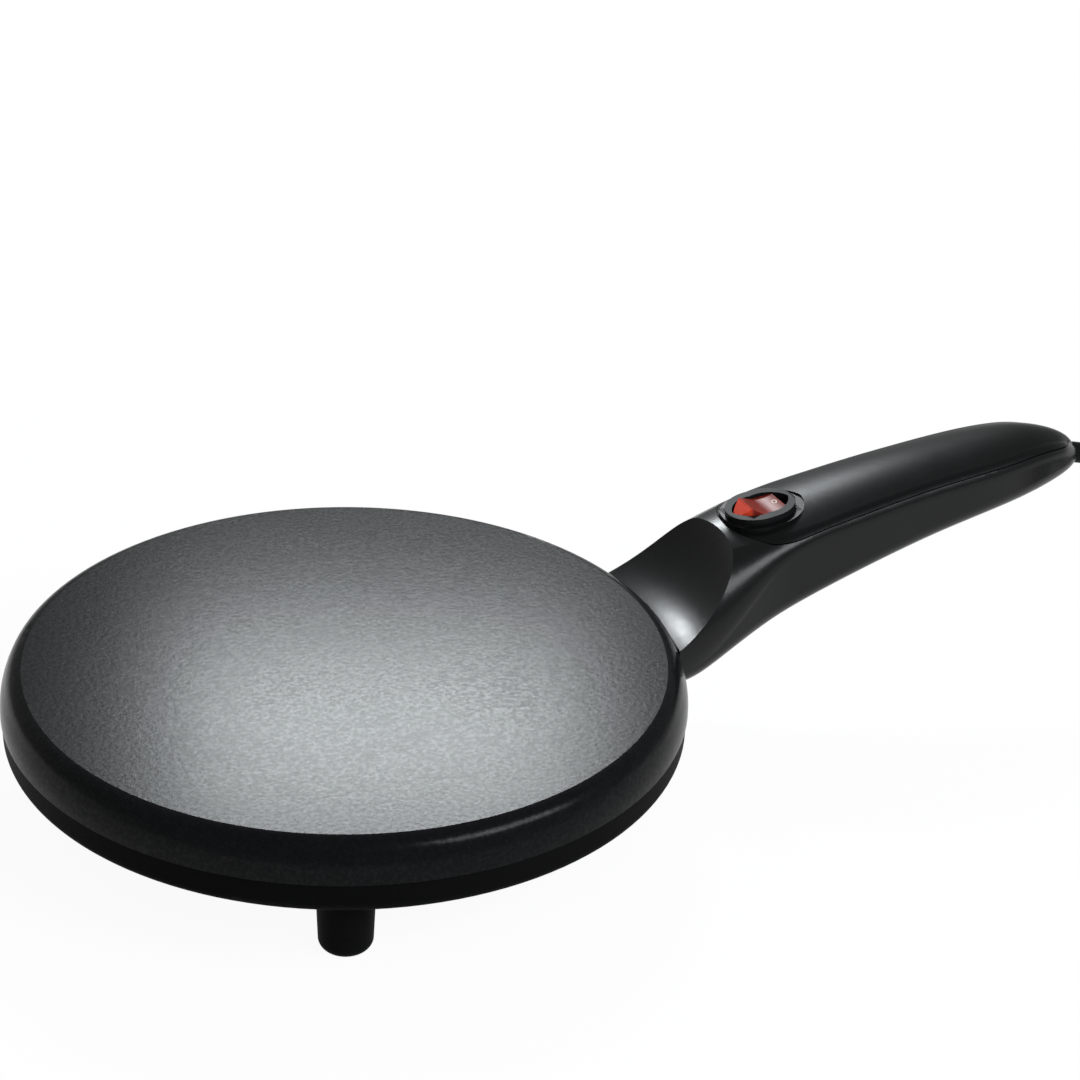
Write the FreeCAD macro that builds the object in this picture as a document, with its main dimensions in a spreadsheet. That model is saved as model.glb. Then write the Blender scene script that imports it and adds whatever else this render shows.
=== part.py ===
import FreeCAD, Part
import math
import os
from types import SimpleNamespace

import Sketcher
from FreeCAD import Placement, Rotation, Vector

# A hand-held electric crepe maker: a round cooking plate on a shallow base with three feet,
# and one long curved handle with a rocker switch and a mains cord.
# The sheet holds the driving dimensions, in millimetres, and angles in degrees.
# Places are given as a reach from the plate's axis along the handle, a side and a height above the table.

SIZES = {
    # Cooking plate
    "plate_radius": 102.0,
    "rim_width": 6.6,
    "rim_height": 12.3,
    "plate_crown": 1.2,
    "plate_thickness": 4.0,
    "skirt_wall": 3.0,
    "plate_boss_radius": 5.0,
    # Base and feet
    "foot_length": 21.0,
    "base_depth": 9.5,
    "base_inset": 0.5,
    "base_round": 3.0,
    "base_wall": 2.5,
    "lip_wall": 1.6,
    "lip_height": 2.0,
    "lip_gap": 0.3,
    "foot_inset": 15.5,
    "foot_radius": 8.5,
    "foot_waist_radius": 7.8,
    "foot_flat_radius": 5.5,
    "foot_round": 3.0,
    "spigot_radius": 4.0,
    "socket_radius": 6.5,
    "socket_height": 3.0,
    # Screws that hold the plate, the shield and the base together
    "screw_circle": 45.0,
    "column_radius": 6.3,
    "screw_shank_radius": 1.95,
    "screw_head_radius": 3.8,
    "screw_head_height": 2.4,
    "head_recess_radius": 4.4,
    "head_recess_depth": 4.0,
    "small_screw_radius": 1.3,
    "small_head_radius": 2.5,
    "small_head_height": 1.6,
    "fit_gap": 0.05,
    "seat_gap": 0.1,
    # Heating element and its straps
    "element_inset": 32.0,
    "element_radius": 2.8,
    "element_gap_angle": 14.0,
    "element_bend": 9.0,
    "element_leg_back": 19.0,
    "seal_length": 4.0,
    "seal_radius": 2.6,
    "pin_radius": 1.2,
    "pin_length": 6.5,
    "rib_wall": 1.4,
    "rib_height": 3.0,
    "rib_gap": 0.4,
    "strap_half_span": 10.5,
    "strap_width": 8.0,
    "strap_thickness": 0.8,
    "strap_boss_radius": 3.2,
    # Heat shield
    "shield_margin": 8.0,
    "shield_thickness": 0.5,
    "shield_rim": 2.0,
    "shield_opening_radius": 25.0,
    "shield_drop": 0.5,
    # Thermostat and thermal fuse
    "thermostat_cap_radius": 8.2,
    "thermostat_cap_height": 2.5,
    "thermostat_body_radius": 7.6,
    "thermostat_body_height": 8.5,
    "thermostat_tab_length": 6.5,
    "thermostat_tab_width": 6.3,
    "tab_thickness": 0.8,
    "bracket_thickness": 0.8,
    "bracket_hole_side": 14.0,
    "bracket_boss_radius": 3.2,
    "fuse_reach": 16.5,
    "fuse_radius": 2.0,
    "fuse_length": 11.0,
    "fuse_lead_radius": 0.5,
    "fuse_lead_length": 8.0,
    "fuse_clip_width": 5.0,
    "fuse_clip_back": 10.0,
    # Handle, its lengths measured from the plate's edge
    "handle_length": 159.0,
    "handle_wall": 2.2,
    "neck_half_width": 26.35,
    "neck_taper_start": -8.0,
    "grip_start": 48.0,
    "grip_front_half_width": 18.4,
    "grip_back_half_width": 16.6,
    "tip_taper_length": 58.0,
    "tip_round_length": 26.0,
    "tip_flat": 0.6,
    "tip_height": 29.0,
    "crest_height": 41.6,
    "crest_back": 7.0,
    "crest_fall": 8.5,
    "grip_bottom_height": 24.0,
    "neck_drop": 9.5,
    "sweep_start": 5.0,
    "sweep_power": 1.7,
    "cover_crown": 3.6,
    "cover_front": 27.0,
    "cover_front_radius": 19.0,
    "cover_corner_height": 28.1,
    "neck_corner": 5.5,
    "grip_corner": 6.0,
    "grip_shoulder_width": 4.2,
    "neck_shoulder_depth": 26.3,
    "grip_shoulder_depth": 5.2,
    "neck_crown": 1.2,
    "grip_crown": 1.9,
    "parting_gap": 0.3,
    "bottom_cover_height": 3.0,
    "bottom_cover_start": 30.0,
    # Guard in front of the handle, hollowed round the plate's axis
    "guard_gap": 0.8,
    "guard_low_height": 4.0,
    "guard_middle_offset": 15.0,
    "guard_middle_height": 14.5,
    "guard_top_offset": 24.5,
    "guard_top_height": 29.5,
    # Tongues that tie the handle to the base
    "tongue_side": 12.5,
    "tongue_width": 8.5,
    "tongue_length": 20.0,
    "tongue_thickness": 2.5,
    "neck_opening_half_width": 21.4,
    # Screw pillars of the handle
    "pillar_first": 64.0,
    "pillar_last_back": 41.0,
    "pillar_radius": 3.8,
    "post_radius": 3.3,
    # Switch
    "switch_offset": 39.5,
    "switch_lean": 6.0,
    "platform_offset": 39.9,
    "platform_half_length": 14.4,
    "platform_half_width": 11.2,
    "platform_height": 31.9,
    "bezel_half_length": 12.0,
    "bezel_half_width": 9.0,
    "bezel_height": 2.0,
    "bezel_round": 0.9,
    "switch_box_length": 21.6,
    "switch_box_width": 14.0,
    "switch_box_depth": 13.5,
    "switch_wall": 1.0,
    "switch_floor": 2.0,
    "rocker_half_length": 9.7,
    "rocker_half_width": 5.7,
    "rocker_gap": 0.35,
    "rocker_half_tilt": 11.0,
    "pivot_drop": 1.2,
    "pivot_radius": 1.0,
    "ridge_place": 6.0,
    "ridge_height": 4.0,
    "saddle_height": 2.2,
    "rocker_skirt": 3.0,
    "stem_radius": 2.6,
    "stem_length": 2.2,
    "plunger_radius": 1.4,
    "plunger_length": 4.6,
    "plunger_reach": 6.9,
    "spring_radius": 1.3,
    "spring_wire": 0.4,
    "lamp_radius": 1.4,
    "lamp_length": 6.5,
    "lamp_place": 5.3,
    "arm_length": 14.0,
    "arm_width": 4.6,
    "arm_thickness": 0.6,
    "arm_roll_radius": 0.7,
    "arm_half_tilt": 8.0,
    "arm_drop": 7.9,
    "terminal_pitch": 6.0,
    "terminal_width": 4.8,
    "terminal_length": 6.0,
    # Cord and what holds it
    "cord_radius": 2.9,
    "cord_droop_angle": 16.0,
    "relief_root": 3.0,
    "relief_root_height": 29.5,
    "relief_root_radius": 3.45,
    "relief_end_radius": 3.1,
    "relief_outer_length": 33.0,
    "relief_inner_length": 7.0,
    "relief_flange_radius": 4.0,
    "relief_flange_width": 2.0,
    "clamp_length": 5.0,
    "clamp_height": 3.7,
    "clamp_head_height": 1.1,
    "tail_height": 30.7,
    "clamp_post_side": 7.2,
    "clamp_post_radius": 2.4,
    "wire_radius": 1.1,
    "coil_radius": 34.0,
    # Mains plug
    "plug_length": 30.0,
    "plug_width": 25.0,
    "plug_height": 17.0,
    "plug_boot_length": 22.0,
    "blade_length": 16.0,
    "blade_height": 6.3,
    "blade_thickness": 1.5,
    "blade_pitch": 12.7,
}

FOOT_ANGLES = {"foot_front": 0.0, "foot_left": 114.0, "foot_right": -114.0}
SCREW_ANGLES = (60.0, 180.0, 300.0)
STRAP_ANGLES = (90.0, 180.0, 270.0)
PILLARS = 3

doc = FreeCAD.newDocument("CrepeMaker")
sheet = doc.addObject("Spreadsheet::Sheet", "Sizes")
for row, (alias, number) in enumerate(SIZES.items(), start=1):
    sheet.set(f"A{row}", alias)
    sheet.set(f"B{row}", str(number))
    sheet.setAlias(f"B{row}", alias)
doc.recompute()


class Size:
    """A length that holds both its number and the sheet expression that gives it."""

    def __init__(self, number, text):
        self.number = number
        self.text = text

    def __float__(self):
        return float(self.number)

    def __add__(self, other):
        return Size(self.number + float(other), f"({self.text} + {words(other)})")

    def __radd__(self, other):
        return Size(float(other) + self.number, f"({words(other)} + {self.text})")

    def __sub__(self, other):
        return Size(self.number - float(other), f"({self.text} - {words(other)})")

    def __rsub__(self, other):
        return Size(float(other) - self.number, f"({words(other)} - {self.text})")

    def __mul__(self, other):
        return Size(self.number * float(other), f"({self.text} * {words(other)})")

    __rmul__ = __mul__

    def __truediv__(self, other):
        return Size(self.number / float(other), f"({self.text} / {words(other)})")

    def __neg__(self):
        return Size(-self.number, f"(0 - {self.text})")


def root(size):
    """The square root of a size."""
    return Size(math.sqrt(size.number), f"sqrt({size.text})")


def words(size):
    """The expression text of a size or of a plain number."""
    return size.text if isinstance(size, Size) else f"({float(size):.9f})"


mm = SimpleNamespace(**SIZES)
dim = SimpleNamespace(**{alias: Size(number, f"Sizes.{alias}") for alias, number in SIZES.items()})

# Places that many pieces share
axis_place = dim.handle_length * -0.5
base_floor = dim.foot_length + dim.base_wall
seam = dim.foot_length + dim.base_depth
underside = seam + dim.rim_height - dim.plate_thickness
base_radius = dim.plate_radius - dim.base_inset
handle_reach = dim.plate_radius + dim.handle_length
switch_reach = dim.plate_radius + dim.switch_offset
housing_top = seam + dim.platform_height
pivot_height = housing_top - dim.pivot_drop

element_circle = dim.plate_radius - dim.element_inset
element_leg_end = dim.plate_radius - dim.element_leg_back
shield_radius = dim.plate_radius - dim.shield_margin

nodes = []


def keep(item, name=None):
    """Take an object into the finished part under the name of its node."""
    item.Label = name or item.Name
    nodes.append(item)
    return item


def polar(radius, angle):
    """The reach and side of a point at a radius and an angle round the plate's axis."""
    return radius * math.cos(math.radians(angle)), radius * math.sin(math.radians(angle))


def bind(item, **sizes):
    """Set an object's sizes and tie each of them to the sheet."""
    for name, size in sizes.items():
        setattr(item, name, float(size))
        if isinstance(size, Size):
            item.setExpression(name, size.text)


def place(item, reach=0.0, side=0.0, height=0.0, turn=Rotation()):
    """Stand an object at its reach, side and height, tied to the sheet."""
    item.Placement = Placement(Vector(float(axis_place + reach), float(side), float(height)), turn)
    for letter, size in zip("xyz", (axis_place + reach, side, height)):
        if isinstance(size, Size):
            item.setExpression(f".Placement.Base.{letter}", size.text)
    return item


ALONG = Rotation(Vector(0, 1, 0), 90)
ACROSS = Rotation(Vector(1, 0, 0), -90)


def cylinder(name, radius, length, reach=0.0, side=0.0, height=0.0, turn=Rotation()):
    item = doc.addObject("Part::Cylinder", name)
    bind(item, Radius=radius, Height=length)
    return place(item, reach, side, height, turn)


def block(name, length, width, depth, reach=0.0, side=0.0, height=0.0):
    """A box whose reach and side are those of its middle, and whose height is that of its bottom."""
    item = doc.addObject("Part::Box", name)
    bind(item, Length=length, Width=width, Height=depth)
    return place(item, reach - length * 0.5, side - width * 0.5, height)


def joined(name, *pieces):
    item = doc.addObject("Part::MultiFuse", name)
    item.Shapes = list(pieces)
    return item


def cut(name, base, *tools):
    item = doc.addObject("Part::Cut", name)
    item.Base = base
    item.Tool = tools[0] if len(tools) == 1 else joined(f"{name}_openings", *tools)
    return item


def shared(name, base, tool):
    item = doc.addObject("Part::Common", name)
    item.Base = base
    item.Tool = tool
    return item


def group(name, *pieces):
    item = doc.addObject("Part::Compound", name)
    item.Links = list(pieces)
    return item


def shaped(name, shape):
    """An object for a form that neither a body nor a primitive gives, drawn in reach, side and height."""
    item = doc.addObject("Part::Feature", name)
    item.Shape = shape
    return place(item)


def draw_outline(body, plane_role, steps):
    """Draw a closed outline whose corners are tied to the sheet.

    Each step ends at a corner (across, up). A step of four numbers is an arc that passes through
    its first pair and ends at its second pair. The first step comes from the last corner.
    """
    sketch = body.newObject("Sketcher::SketchObject", f"{body.Name}_outline")
    plane = [item for item in body.Origin.OriginFeatures if item.Role == plane_role][0]
    sketch.AttachmentSupport = [(plane, "")]
    sketch.MapMode = "FlatFace"
    ends = []
    for number, step in enumerate(steps):
        start = flat_point(steps[number - 1][-2:])
        end = flat_point(step[-2:])
        if len(step) == 2:
            edge = sketch.addGeometry(Part.LineSegment(start, end))
            ends.append((edge, 1, 2))
            continue
        middle = flat_point(step[:2])
        circle = Part.Arc(start, middle, end).toShape().Curve
        first, last = [math.atan2(p.y - circle.Center.y, p.x - circle.Center.x) for p in (start, end)]
        forward = (middle - start).cross(end - middle).z > 0
        if not forward:
            first, last = last, first
        if last < first:
            last += 2 * math.pi
        round_edge = Part.Circle(circle.Center, Vector(0, 0, 1), circle.Radius)
        edge = sketch.addGeometry(Part.ArcOfCircle(round_edge, first, last))
        ends.append((edge, 1, 2) if forward else (edge, 2, 1))
        guide = sketch.addGeometry(Part.Point(middle), True)
        tie_point(sketch, guide, 1, step[:2])
        sketch.addConstraint(Sketcher.Constraint("PointOnObject", guide, 1, edge))
    for number, (edge, first, last) in enumerate(ends):
        following, start, _ = ends[(number + 1) % len(ends)]
        sketch.addConstraint(Sketcher.Constraint("Coincident", edge, last, following, start))
        tie_point(sketch, edge, last, steps[number][-2:])
    return sketch


def flat_point(corner):
    return Vector(float(corner[0]), float(corner[1]), 0)


def tie_point(sketch, edge, end, corner):
    """Tie one point of a sketch to its distances from the origin, or to an axis where it lies on it."""
    for kind, size, axis in (("DistanceX", corner[0], -2), ("DistanceY", corner[1], -1)):
        if float(size) == 0:
            sketch.addConstraint(Sketcher.Constraint("PointOnObject", edge, end, axis))
            continue
        number = sketch.addConstraint(Sketcher.Constraint(kind, edge, end, float(size)))
        if isinstance(size, Size):
            sketch.setExpression(f"Constraints[{number}]", size.text)


def leaned(item):
    """Lean a piece of the switch about the rocker's pivot, so that it follows the handle's rise."""
    cosine = math.cos(math.radians(mm.switch_lean))
    sine = math.sin(math.radians(mm.switch_lean))
    across = axis_place + switch_reach
    shift_x = across * (1 - cosine) + pivot_height * sine
    shift_z = pivot_height * (1 - cosine) - across * sine
    turn = Rotation(Vector(0, 1, 0), -mm.switch_lean)
    item.Placement = Placement(Vector(float(shift_x), 0, float(shift_z)), turn)
    item.setExpression(".Placement.Base.x", shift_x.text)
    item.setExpression(".Placement.Base.z", shift_z.text)
    return item


def on_switch(along, side, height):
    """A point of the switch, from the rocker's pivot, as reach, side and height in plain numbers."""
    lean = math.radians(mm.switch_lean)
    reach = float(switch_reach) + along * math.cos(lean) - height * math.sin(lean)
    return reach, side, float(pivot_height) + along * math.sin(lean) + height * math.cos(lean)


def turned(name, steps, reach=0.0, side=0.0, height=0.0, turn=Rotation()):
    """A body made by turning an outline round its own upright axis."""
    body = doc.addObject("PartDesign::Body", name)
    sketch = draw_outline(body, "XZ_Plane", steps)
    feature = body.newObject("PartDesign::Revolution", f"{name}_turning")
    feature.Profile = sketch
    feature.ReferenceAxis = (sketch, ["V_Axis"])
    feature.Angle = 360
    body.Tip = feature
    return place(body, reach, side, height, turn)


def pushed(name, steps, length, plane_role="XZ_Plane", reach=0.0, side=0.0, height=0.0, both_ways=True):
    """A body made by pushing an outline out of its plane, to both sides alike or to one."""
    body = doc.addObject("PartDesign::Body", name)
    sketch = draw_outline(body, plane_role, steps)
    feature = body.newObject("PartDesign::Pad", f"{name}_push")
    feature.Profile = sketch
    bind(feature, Length=length)
    feature.Midplane = both_ways
    body.Tip = feature
    return place(body, reach, side, height)


def screws(name, head_radius, head_height, shank_radius, shank_length, places):
    """A group of like screws, heads down; a place is a reach, a side and the height of the head's seat."""
    pieces = []
    for number, (reach, side, seat) in enumerate(places):
        head = cylinder(f"{name}_head{number}", head_radius, head_height, reach, side, seat - head_height)
        shank = cylinder(f"{name}_shank{number}", shank_radius, shank_length, reach, side, seat)
        pieces.append(joined(f"{name}_screw{number}", head, shank))
    return keep(group(name, *pieces))


def rounded_path(points):
    """A path of straight runs joined by arcs as large as the runs allow, with its length and radii."""
    corners = [Vector(*point) for point in points]
    edges = []
    radii = []
    start = corners[0]
    for before, corner, after in zip(corners, corners[1:], corners[2:]):
        inward = (before - corner).normalize()
        onward = (after - corner).normalize()
        half_turn = (math.pi - inward.getAngle(onward)) / 2
        reach = 0.45 * min((before - corner).Length, (after - corner).Length)
        radius = reach / math.tan(half_turn)
        middle = (inward + onward).normalize()
        top = corner + middle * (radius / math.cos(half_turn) - radius)
        edges.append(Part.LineSegment(start, corner + inward * reach).toShape())
        edges.append(Part.Arc(corner + inward * reach, top, corner + onward * reach).toShape())
        start = corner + onward * reach
        radii.append(radius)
    edges.append(Part.LineSegment(start, corners[-1]).toShape())
    return Part.Wire(edges), radii


def tube(name, radius, points):
    """A round lead along a path, checked against its section times its length."""
    path, radii = rounded_path(points)
    start = Vector(*points[0])
    ring = Part.Wire(Part.makeCircle(radius, start, Vector(*points[1]) - start))
    shape = path.makePipeShell([ring], True, False)
    expected = math.pi * radius**2 * path.Length
    if abs(shape.Volume / expected - 1) > 0.01:
        raise RuntimeError(f"{name} is not a clean tube")
    print(name, "length", round(path.Length, 1), "radii", [round(size, 1) for size in radii])
    return keep(shaped(name, shape))


# Cooking plate: a gently domed face, a rolled rim and a skirt down to the seam
def rim_point(angle):
    """A point of the rim's quarter ellipse, from the seam at 0 degrees up to the face at 90."""
    across = dim.plate_radius - dim.rim_width + dim.rim_width * math.cos(math.radians(angle))
    return across, dim.rim_height * math.sin(math.radians(angle))


face_radius = dim.plate_radius - dim.rim_width
skirt_inner = dim.plate_radius - dim.skirt_wall
plate_depth = dim.rim_height - dim.plate_thickness
dome_radius = (face_radius * face_radius + dim.plate_crown * dim.plate_crown) / (dim.plate_crown * 2)
dome_centre = dim.rim_height + dim.plate_crown - dome_radius
dome_middle = dome_centre + root(dome_radius * dome_radius - face_radius * face_radius * 0.25)
plate_blank = turned("plate_blank", [
    (0.0, dim.rim_height + dim.plate_crown),
    (face_radius * 0.5, dome_middle, face_radius, dim.rim_height),
    (*rim_point(67.5), *rim_point(45.0)),
    (*rim_point(22.5), dim.plate_radius, 0.0),
    (skirt_inner, 0.0),
    (skirt_inner, plate_depth - dim.skirt_wall),
    (skirt_inner - dim.skirt_wall, plate_depth),
    (0.0, plate_depth),
], height=seam)

element_centre = underside - dim.element_radius
strap_top = underside - dim.element_radius * 2
shield_top = seam - dim.shield_drop
bracket_top = underside - dim.thermostat_cap_height
fuse_clip_top = underside - dim.fuse_radius * 2
bosses = []
boss_holes = []


def plate_boss(name, radius, hole_radius, reach, side, bottom):
    """A boss cast below the plate, with a blind hole for its screw."""
    bosses.append(cylinder(f"{name}_boss", radius, underside - bottom + 1.0, reach, side, bottom))
    depth = underside - bottom + 1.0
    boss_holes.append(cylinder(f"{name}_hole", hole_radius, depth, reach, side, bottom))


screw_hole = dim.screw_shank_radius + dim.fit_gap
small_hole = dim.small_screw_radius + dim.fit_gap
for number, angle in enumerate(SCREW_ANGLES):
    plate_boss(f"screw{number}", dim.plate_boss_radius, screw_hole, *polar(dim.screw_circle, angle), shield_top)

strap_holes = []
for number, angle in enumerate(STRAP_ANGLES):
    for end, radius in (("inner", -dim.strap_half_span), ("outer", dim.strap_half_span)):
        spot = polar(element_circle + radius, angle)
        strap_holes.append(spot)
        plate_boss(f"strap{number}_{end}", dim.strap_boss_radius, small_hole, *spot, strap_top)
bracket_spots = [(0.0, dim.bracket_hole_side), (0.0, -dim.bracket_hole_side)]
for number, spot in enumerate(bracket_spots):
    plate_boss(f"bracket{number}", dim.bracket_boss_radius, small_hole, *spot, bracket_top)
fuse_spot = (-dim.fuse_reach - dim.fuse_clip_back * 0.5, 0.0)
plate_boss("fuse", dim.fuse_clip_width * 0.5, small_hole, *fuse_spot, fuse_clip_top)

ribs = []
for end, sign in (("inner", -1.0), ("outer", 1.0)):
    middle = element_circle + (dim.element_radius + dim.rib_gap + dim.rib_wall * 0.5) * sign
    rib_bottom = underside - dim.rib_height
    outer = cylinder(f"rib_{end}_outside", middle + dim.rib_wall * 0.5, dim.rib_height + 1.0, height=rib_bottom)
    inner = cylinder(f"rib_{end}_inside", middle - dim.rib_wall * 0.5, dim.rib_height + 1.0, height=rib_bottom)
    ribs.append(cut(f"rib_{end}", outer, inner))
leg_pass = block("leg_pass", dim.element_inset + 8.0, 46.0, dim.rib_height, element_circle + 8.0, 0.0,
                 underside - dim.rib_height)
plate_casting = joined("plate_casting", plate_blank, *bosses, cut("ribs", group("rib_pair", *ribs), leg_pass))
keep(cut("cooking_plate", plate_casting, *boss_holes))

# Heating element: a round tube bent into a ring, with two legs towards the handle
gap_angle = math.radians(mm.element_gap_angle)
bend_centre = (float(element_circle) + mm.element_bend) * math.cos(gap_angle)
leg_side = (float(element_circle) + mm.element_bend) * math.sin(gap_angle) - mm.element_bend
element_height = float(element_centre)


def element_half(sign):
    """One leg and bend of the element, as edges from the leg's end to the ring."""
    def at(reach, side):
        return Vector(reach, side * sign, element_height)

    middle_angle = (gap_angle + math.pi / 2) / 2 + math.pi
    middle = Vector(math.cos(middle_angle + math.pi), math.sin(middle_angle + math.pi), 0)
    centre_side = leg_side + mm.element_bend
    ring_end = at(float(element_circle) * math.cos(gap_angle), float(element_circle) * math.sin(gap_angle))
    bend_middle = at(bend_centre - mm.element_bend * middle.x, centre_side - mm.element_bend * middle.y)
    leg = Part.LineSegment(at(float(element_leg_end), leg_side), at(bend_centre, leg_side)).toShape()
    bend = Part.Arc(at(bend_centre, leg_side), bend_middle, ring_end).toShape()
    return leg, bend, ring_end


left_leg, left_bend, ring_start = element_half(1.0)
right_leg, right_bend, ring_finish = element_half(-1.0)
ring_back = Vector(-float(element_circle), 0, element_height)
element_path = Part.Wire(Part.__sortEdges__([
    left_leg, left_bend, Part.Arc(ring_start, ring_back, ring_finish).toShape(), right_bend, right_leg,
]))
leg_tip = Vector(float(element_leg_end), leg_side, element_height)
element_section = Part.Wire(Part.makeCircle(mm.element_radius, leg_tip, Vector(1, 0, 0)))
keep(shaped("heating_element", element_path.makePipeShell([element_section], True, False)))

pins = []
pin_reach = element_leg_end + dim.seal_length
for name, side in (("left", leg_side), ("right", -leg_side)):
    keep(cylinder(f"element_seal_{name}", dim.seal_radius, dim.seal_length,
                  element_leg_end, side, element_centre, ALONG))
    pins.append(cylinder(f"element_pin_{name}", dim.pin_radius, dim.pin_length,
                         pin_reach, side, element_centre, ALONG))
keep(group("element_pins", *pins))

for number, angle in enumerate(STRAP_ANGLES):
    strap = doc.addObject("Part::Box", f"strap_plate{number}")
    strap_length = dim.strap_half_span * 2 + dim.strap_width
    bind(strap, Length=strap_length, Width=dim.strap_width, Height=dim.strap_thickness)
    corner_radius = element_circle - strap_length * 0.5
    cosine = math.cos(math.radians(angle))
    sine = math.sin(math.radians(angle))
    corner = (corner_radius * cosine + dim.strap_width * (sine / 2),
              corner_radius * sine - dim.strap_width * (cosine / 2))
    place(strap, *corner, strap_top - dim.strap_thickness, Rotation(Vector(0, 0, 1), angle))
    holes = [cylinder(f"strap{number}_screw_hole{end}", small_hole, dim.strap_thickness,
                      *strap_holes[number * 2 + end], strap_top - dim.strap_thickness) for end in (0, 1)]
    keep(cut(f"element_strap_{number + 1}", strap, *holes))
strap_seat = strap_top - dim.strap_thickness
screws("strap_screws", dim.small_head_radius, dim.small_head_height * 0.5, dim.small_screw_radius,
       dim.strap_thickness + dim.element_radius * 2, [(*spot, strap_seat) for spot in strap_holes])

# Thermostat pressed against the plate by its bracket
keep(cylinder("thermostat_cap", dim.thermostat_cap_radius, dim.thermostat_cap_height, height=bracket_top))
body_bottom = bracket_top - dim.thermostat_body_height
keep(cylinder("thermostat_body", dim.thermostat_body_radius, dim.thermostat_body_height, height=body_bottom))
bracket_bottom = bracket_top - dim.bracket_thickness
bracket_ring = cylinder("bracket_ring", dim.thermostat_cap_radius + 2.0, dim.bracket_thickness,
                        height=bracket_bottom)
bracket_bar = block("bracket_bar", dim.bracket_boss_radius * 2, dim.bracket_hole_side * 2
                    + dim.bracket_boss_radius * 2, dim.bracket_thickness, height=bracket_bottom)
bracket_bore = cylinder("bracket_bore", dim.thermostat_body_radius + dim.fit_gap, dim.bracket_thickness,
                        height=bracket_bottom)
bracket_holes = [cylinder(f"bracket_screw_hole{number}", small_hole, dim.bracket_thickness, *spot, bracket_bottom)
                 for number, spot in enumerate(bracket_spots)]
keep(cut("thermostat_bracket", joined("bracket_plate", bracket_ring, bracket_bar), bracket_bore, *bracket_holes))
screws("bracket_screws", dim.small_head_radius, dim.small_head_height, dim.small_screw_radius,
       dim.bracket_thickness + dim.thermostat_cap_height, [(*spot, bracket_bottom) for spot in bracket_spots])
tab_height = body_bottom + 0.6
tabs = []
for name, sign in (("near", 1.0), ("far", -1.0)):
    middle = (dim.thermostat_body_radius + dim.thermostat_tab_length * 0.5) * sign
    tabs.append(block(f"thermostat_tab_{name}", dim.thermostat_tab_length, dim.thermostat_tab_width,
                      dim.tab_thickness, middle, 0.0, tab_height))
keep(group("thermostat_terminals", *tabs))

# Thermal fuse held under the plate by a clip
fuse_height = underside - dim.fuse_radius
fuse_side = dim.fuse_length * -0.5
fuse_barrel = cylinder("fuse_barrel", dim.fuse_radius, dim.fuse_length, -dim.fuse_reach, fuse_side,
                       fuse_height, ACROSS)
fuse_lead = cylinder("fuse_lead", dim.fuse_lead_radius, dim.fuse_length + dim.fuse_lead_length * 2,
                     -dim.fuse_reach, fuse_side - dim.fuse_lead_length, fuse_height, ACROSS)
keep(joined("thermal_fuse", fuse_barrel, fuse_lead))
clip_bottom = fuse_clip_top - dim.bracket_thickness
clip_plate = block("clip_plate", dim.fuse_clip_back + dim.fuse_clip_width, dim.fuse_clip_width,
                   dim.bracket_thickness, -dim.fuse_reach - dim.fuse_clip_back * 0.25, 0.0, clip_bottom)
clip_hole = cylinder("clip_hole", small_hole, dim.bracket_thickness, *fuse_spot, clip_bottom)
keep(cut("fuse_clip", clip_plate, clip_hole))
screws("fuse_screw", dim.small_head_radius, dim.small_head_height, dim.small_screw_radius,
       dim.bracket_thickness + dim.fuse_radius * 2, [(*fuse_spot, clip_bottom)])

# Heat shield: a thin dish between the base's columns and the plate's bosses
shield_bottom = shield_top - dim.shield_thickness
shield_edge = shield_radius - dim.shield_thickness
shield_dish = turned("shield_dish", [
    (dim.shield_opening_radius, 0.0),
    (shield_radius, 0.0),
    (shield_radius, dim.shield_rim),
    (shield_edge, dim.shield_rim),
    (shield_edge, dim.shield_thickness),
    (dim.shield_opening_radius, dim.shield_thickness),
], height=shield_bottom)
shield_holes = [cylinder(f"shield_hole{number}", dim.screw_shank_radius + dim.seat_gap, dim.shield_thickness,
                         *polar(dim.screw_circle, angle), shield_bottom)
                for number, angle in enumerate(SCREW_ANGLES)]
lead_notch = block("lead_notch", 20.0, 36.0, dim.shield_rim * 2, shield_radius - 5.0, 0.0, shield_bottom)
keep(cut("heat_shield", shield_dish, *shield_holes, lead_notch))

# Base: a shallow tray with a lip inside the plate's skirt, screw columns and foot sockets
lip_outer = skirt_inner - dim.lip_gap
lip_inner = lip_outer - dim.lip_wall
wall_inner = base_radius - dim.base_wall
base_tray = turned("base_tray", [
    (0.0, dim.foot_length),
    (base_radius - dim.base_round, dim.foot_length),
    (base_radius - dim.base_round * 0.29, dim.foot_length + dim.base_round * 0.29,
     base_radius, dim.foot_length + dim.base_round),
    (base_radius, seam),
    (lip_outer, seam),
    (lip_outer, seam + dim.lip_height),
    (lip_inner, seam + dim.lip_height),
    (lip_inner, seam - dim.lip_wall),
    (wall_inner, seam - dim.lip_wall - dim.lip_wall),
    (wall_inner, base_floor),
    (0.0, base_floor),
])
columns = []
base_openings = []
for number, angle in enumerate(SCREW_ANGLES):
    spot = polar(dim.screw_circle, angle)
    columns.append(cylinder(f"column{number}", dim.column_radius, shield_bottom - dim.foot_length,
                            *spot, dim.foot_length))
    base_openings.append(cylinder(f"head_recess{number}", dim.head_recess_radius, dim.head_recess_depth,
                                  *spot, dim.foot_length))
    base_openings.append(cylinder(f"column_hole{number}", dim.screw_shank_radius + dim.seat_gap,
                                  shield_bottom - dim.foot_length, *spot, dim.foot_length))
screws("base_screws", dim.screw_head_radius, dim.screw_head_height, dim.screw_shank_radius,
       underside - dim.foot_length - dim.head_recess_depth,
       [(*polar(dim.screw_circle, angle), dim.foot_length + dim.head_recess_depth) for angle in SCREW_ANGLES])

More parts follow.
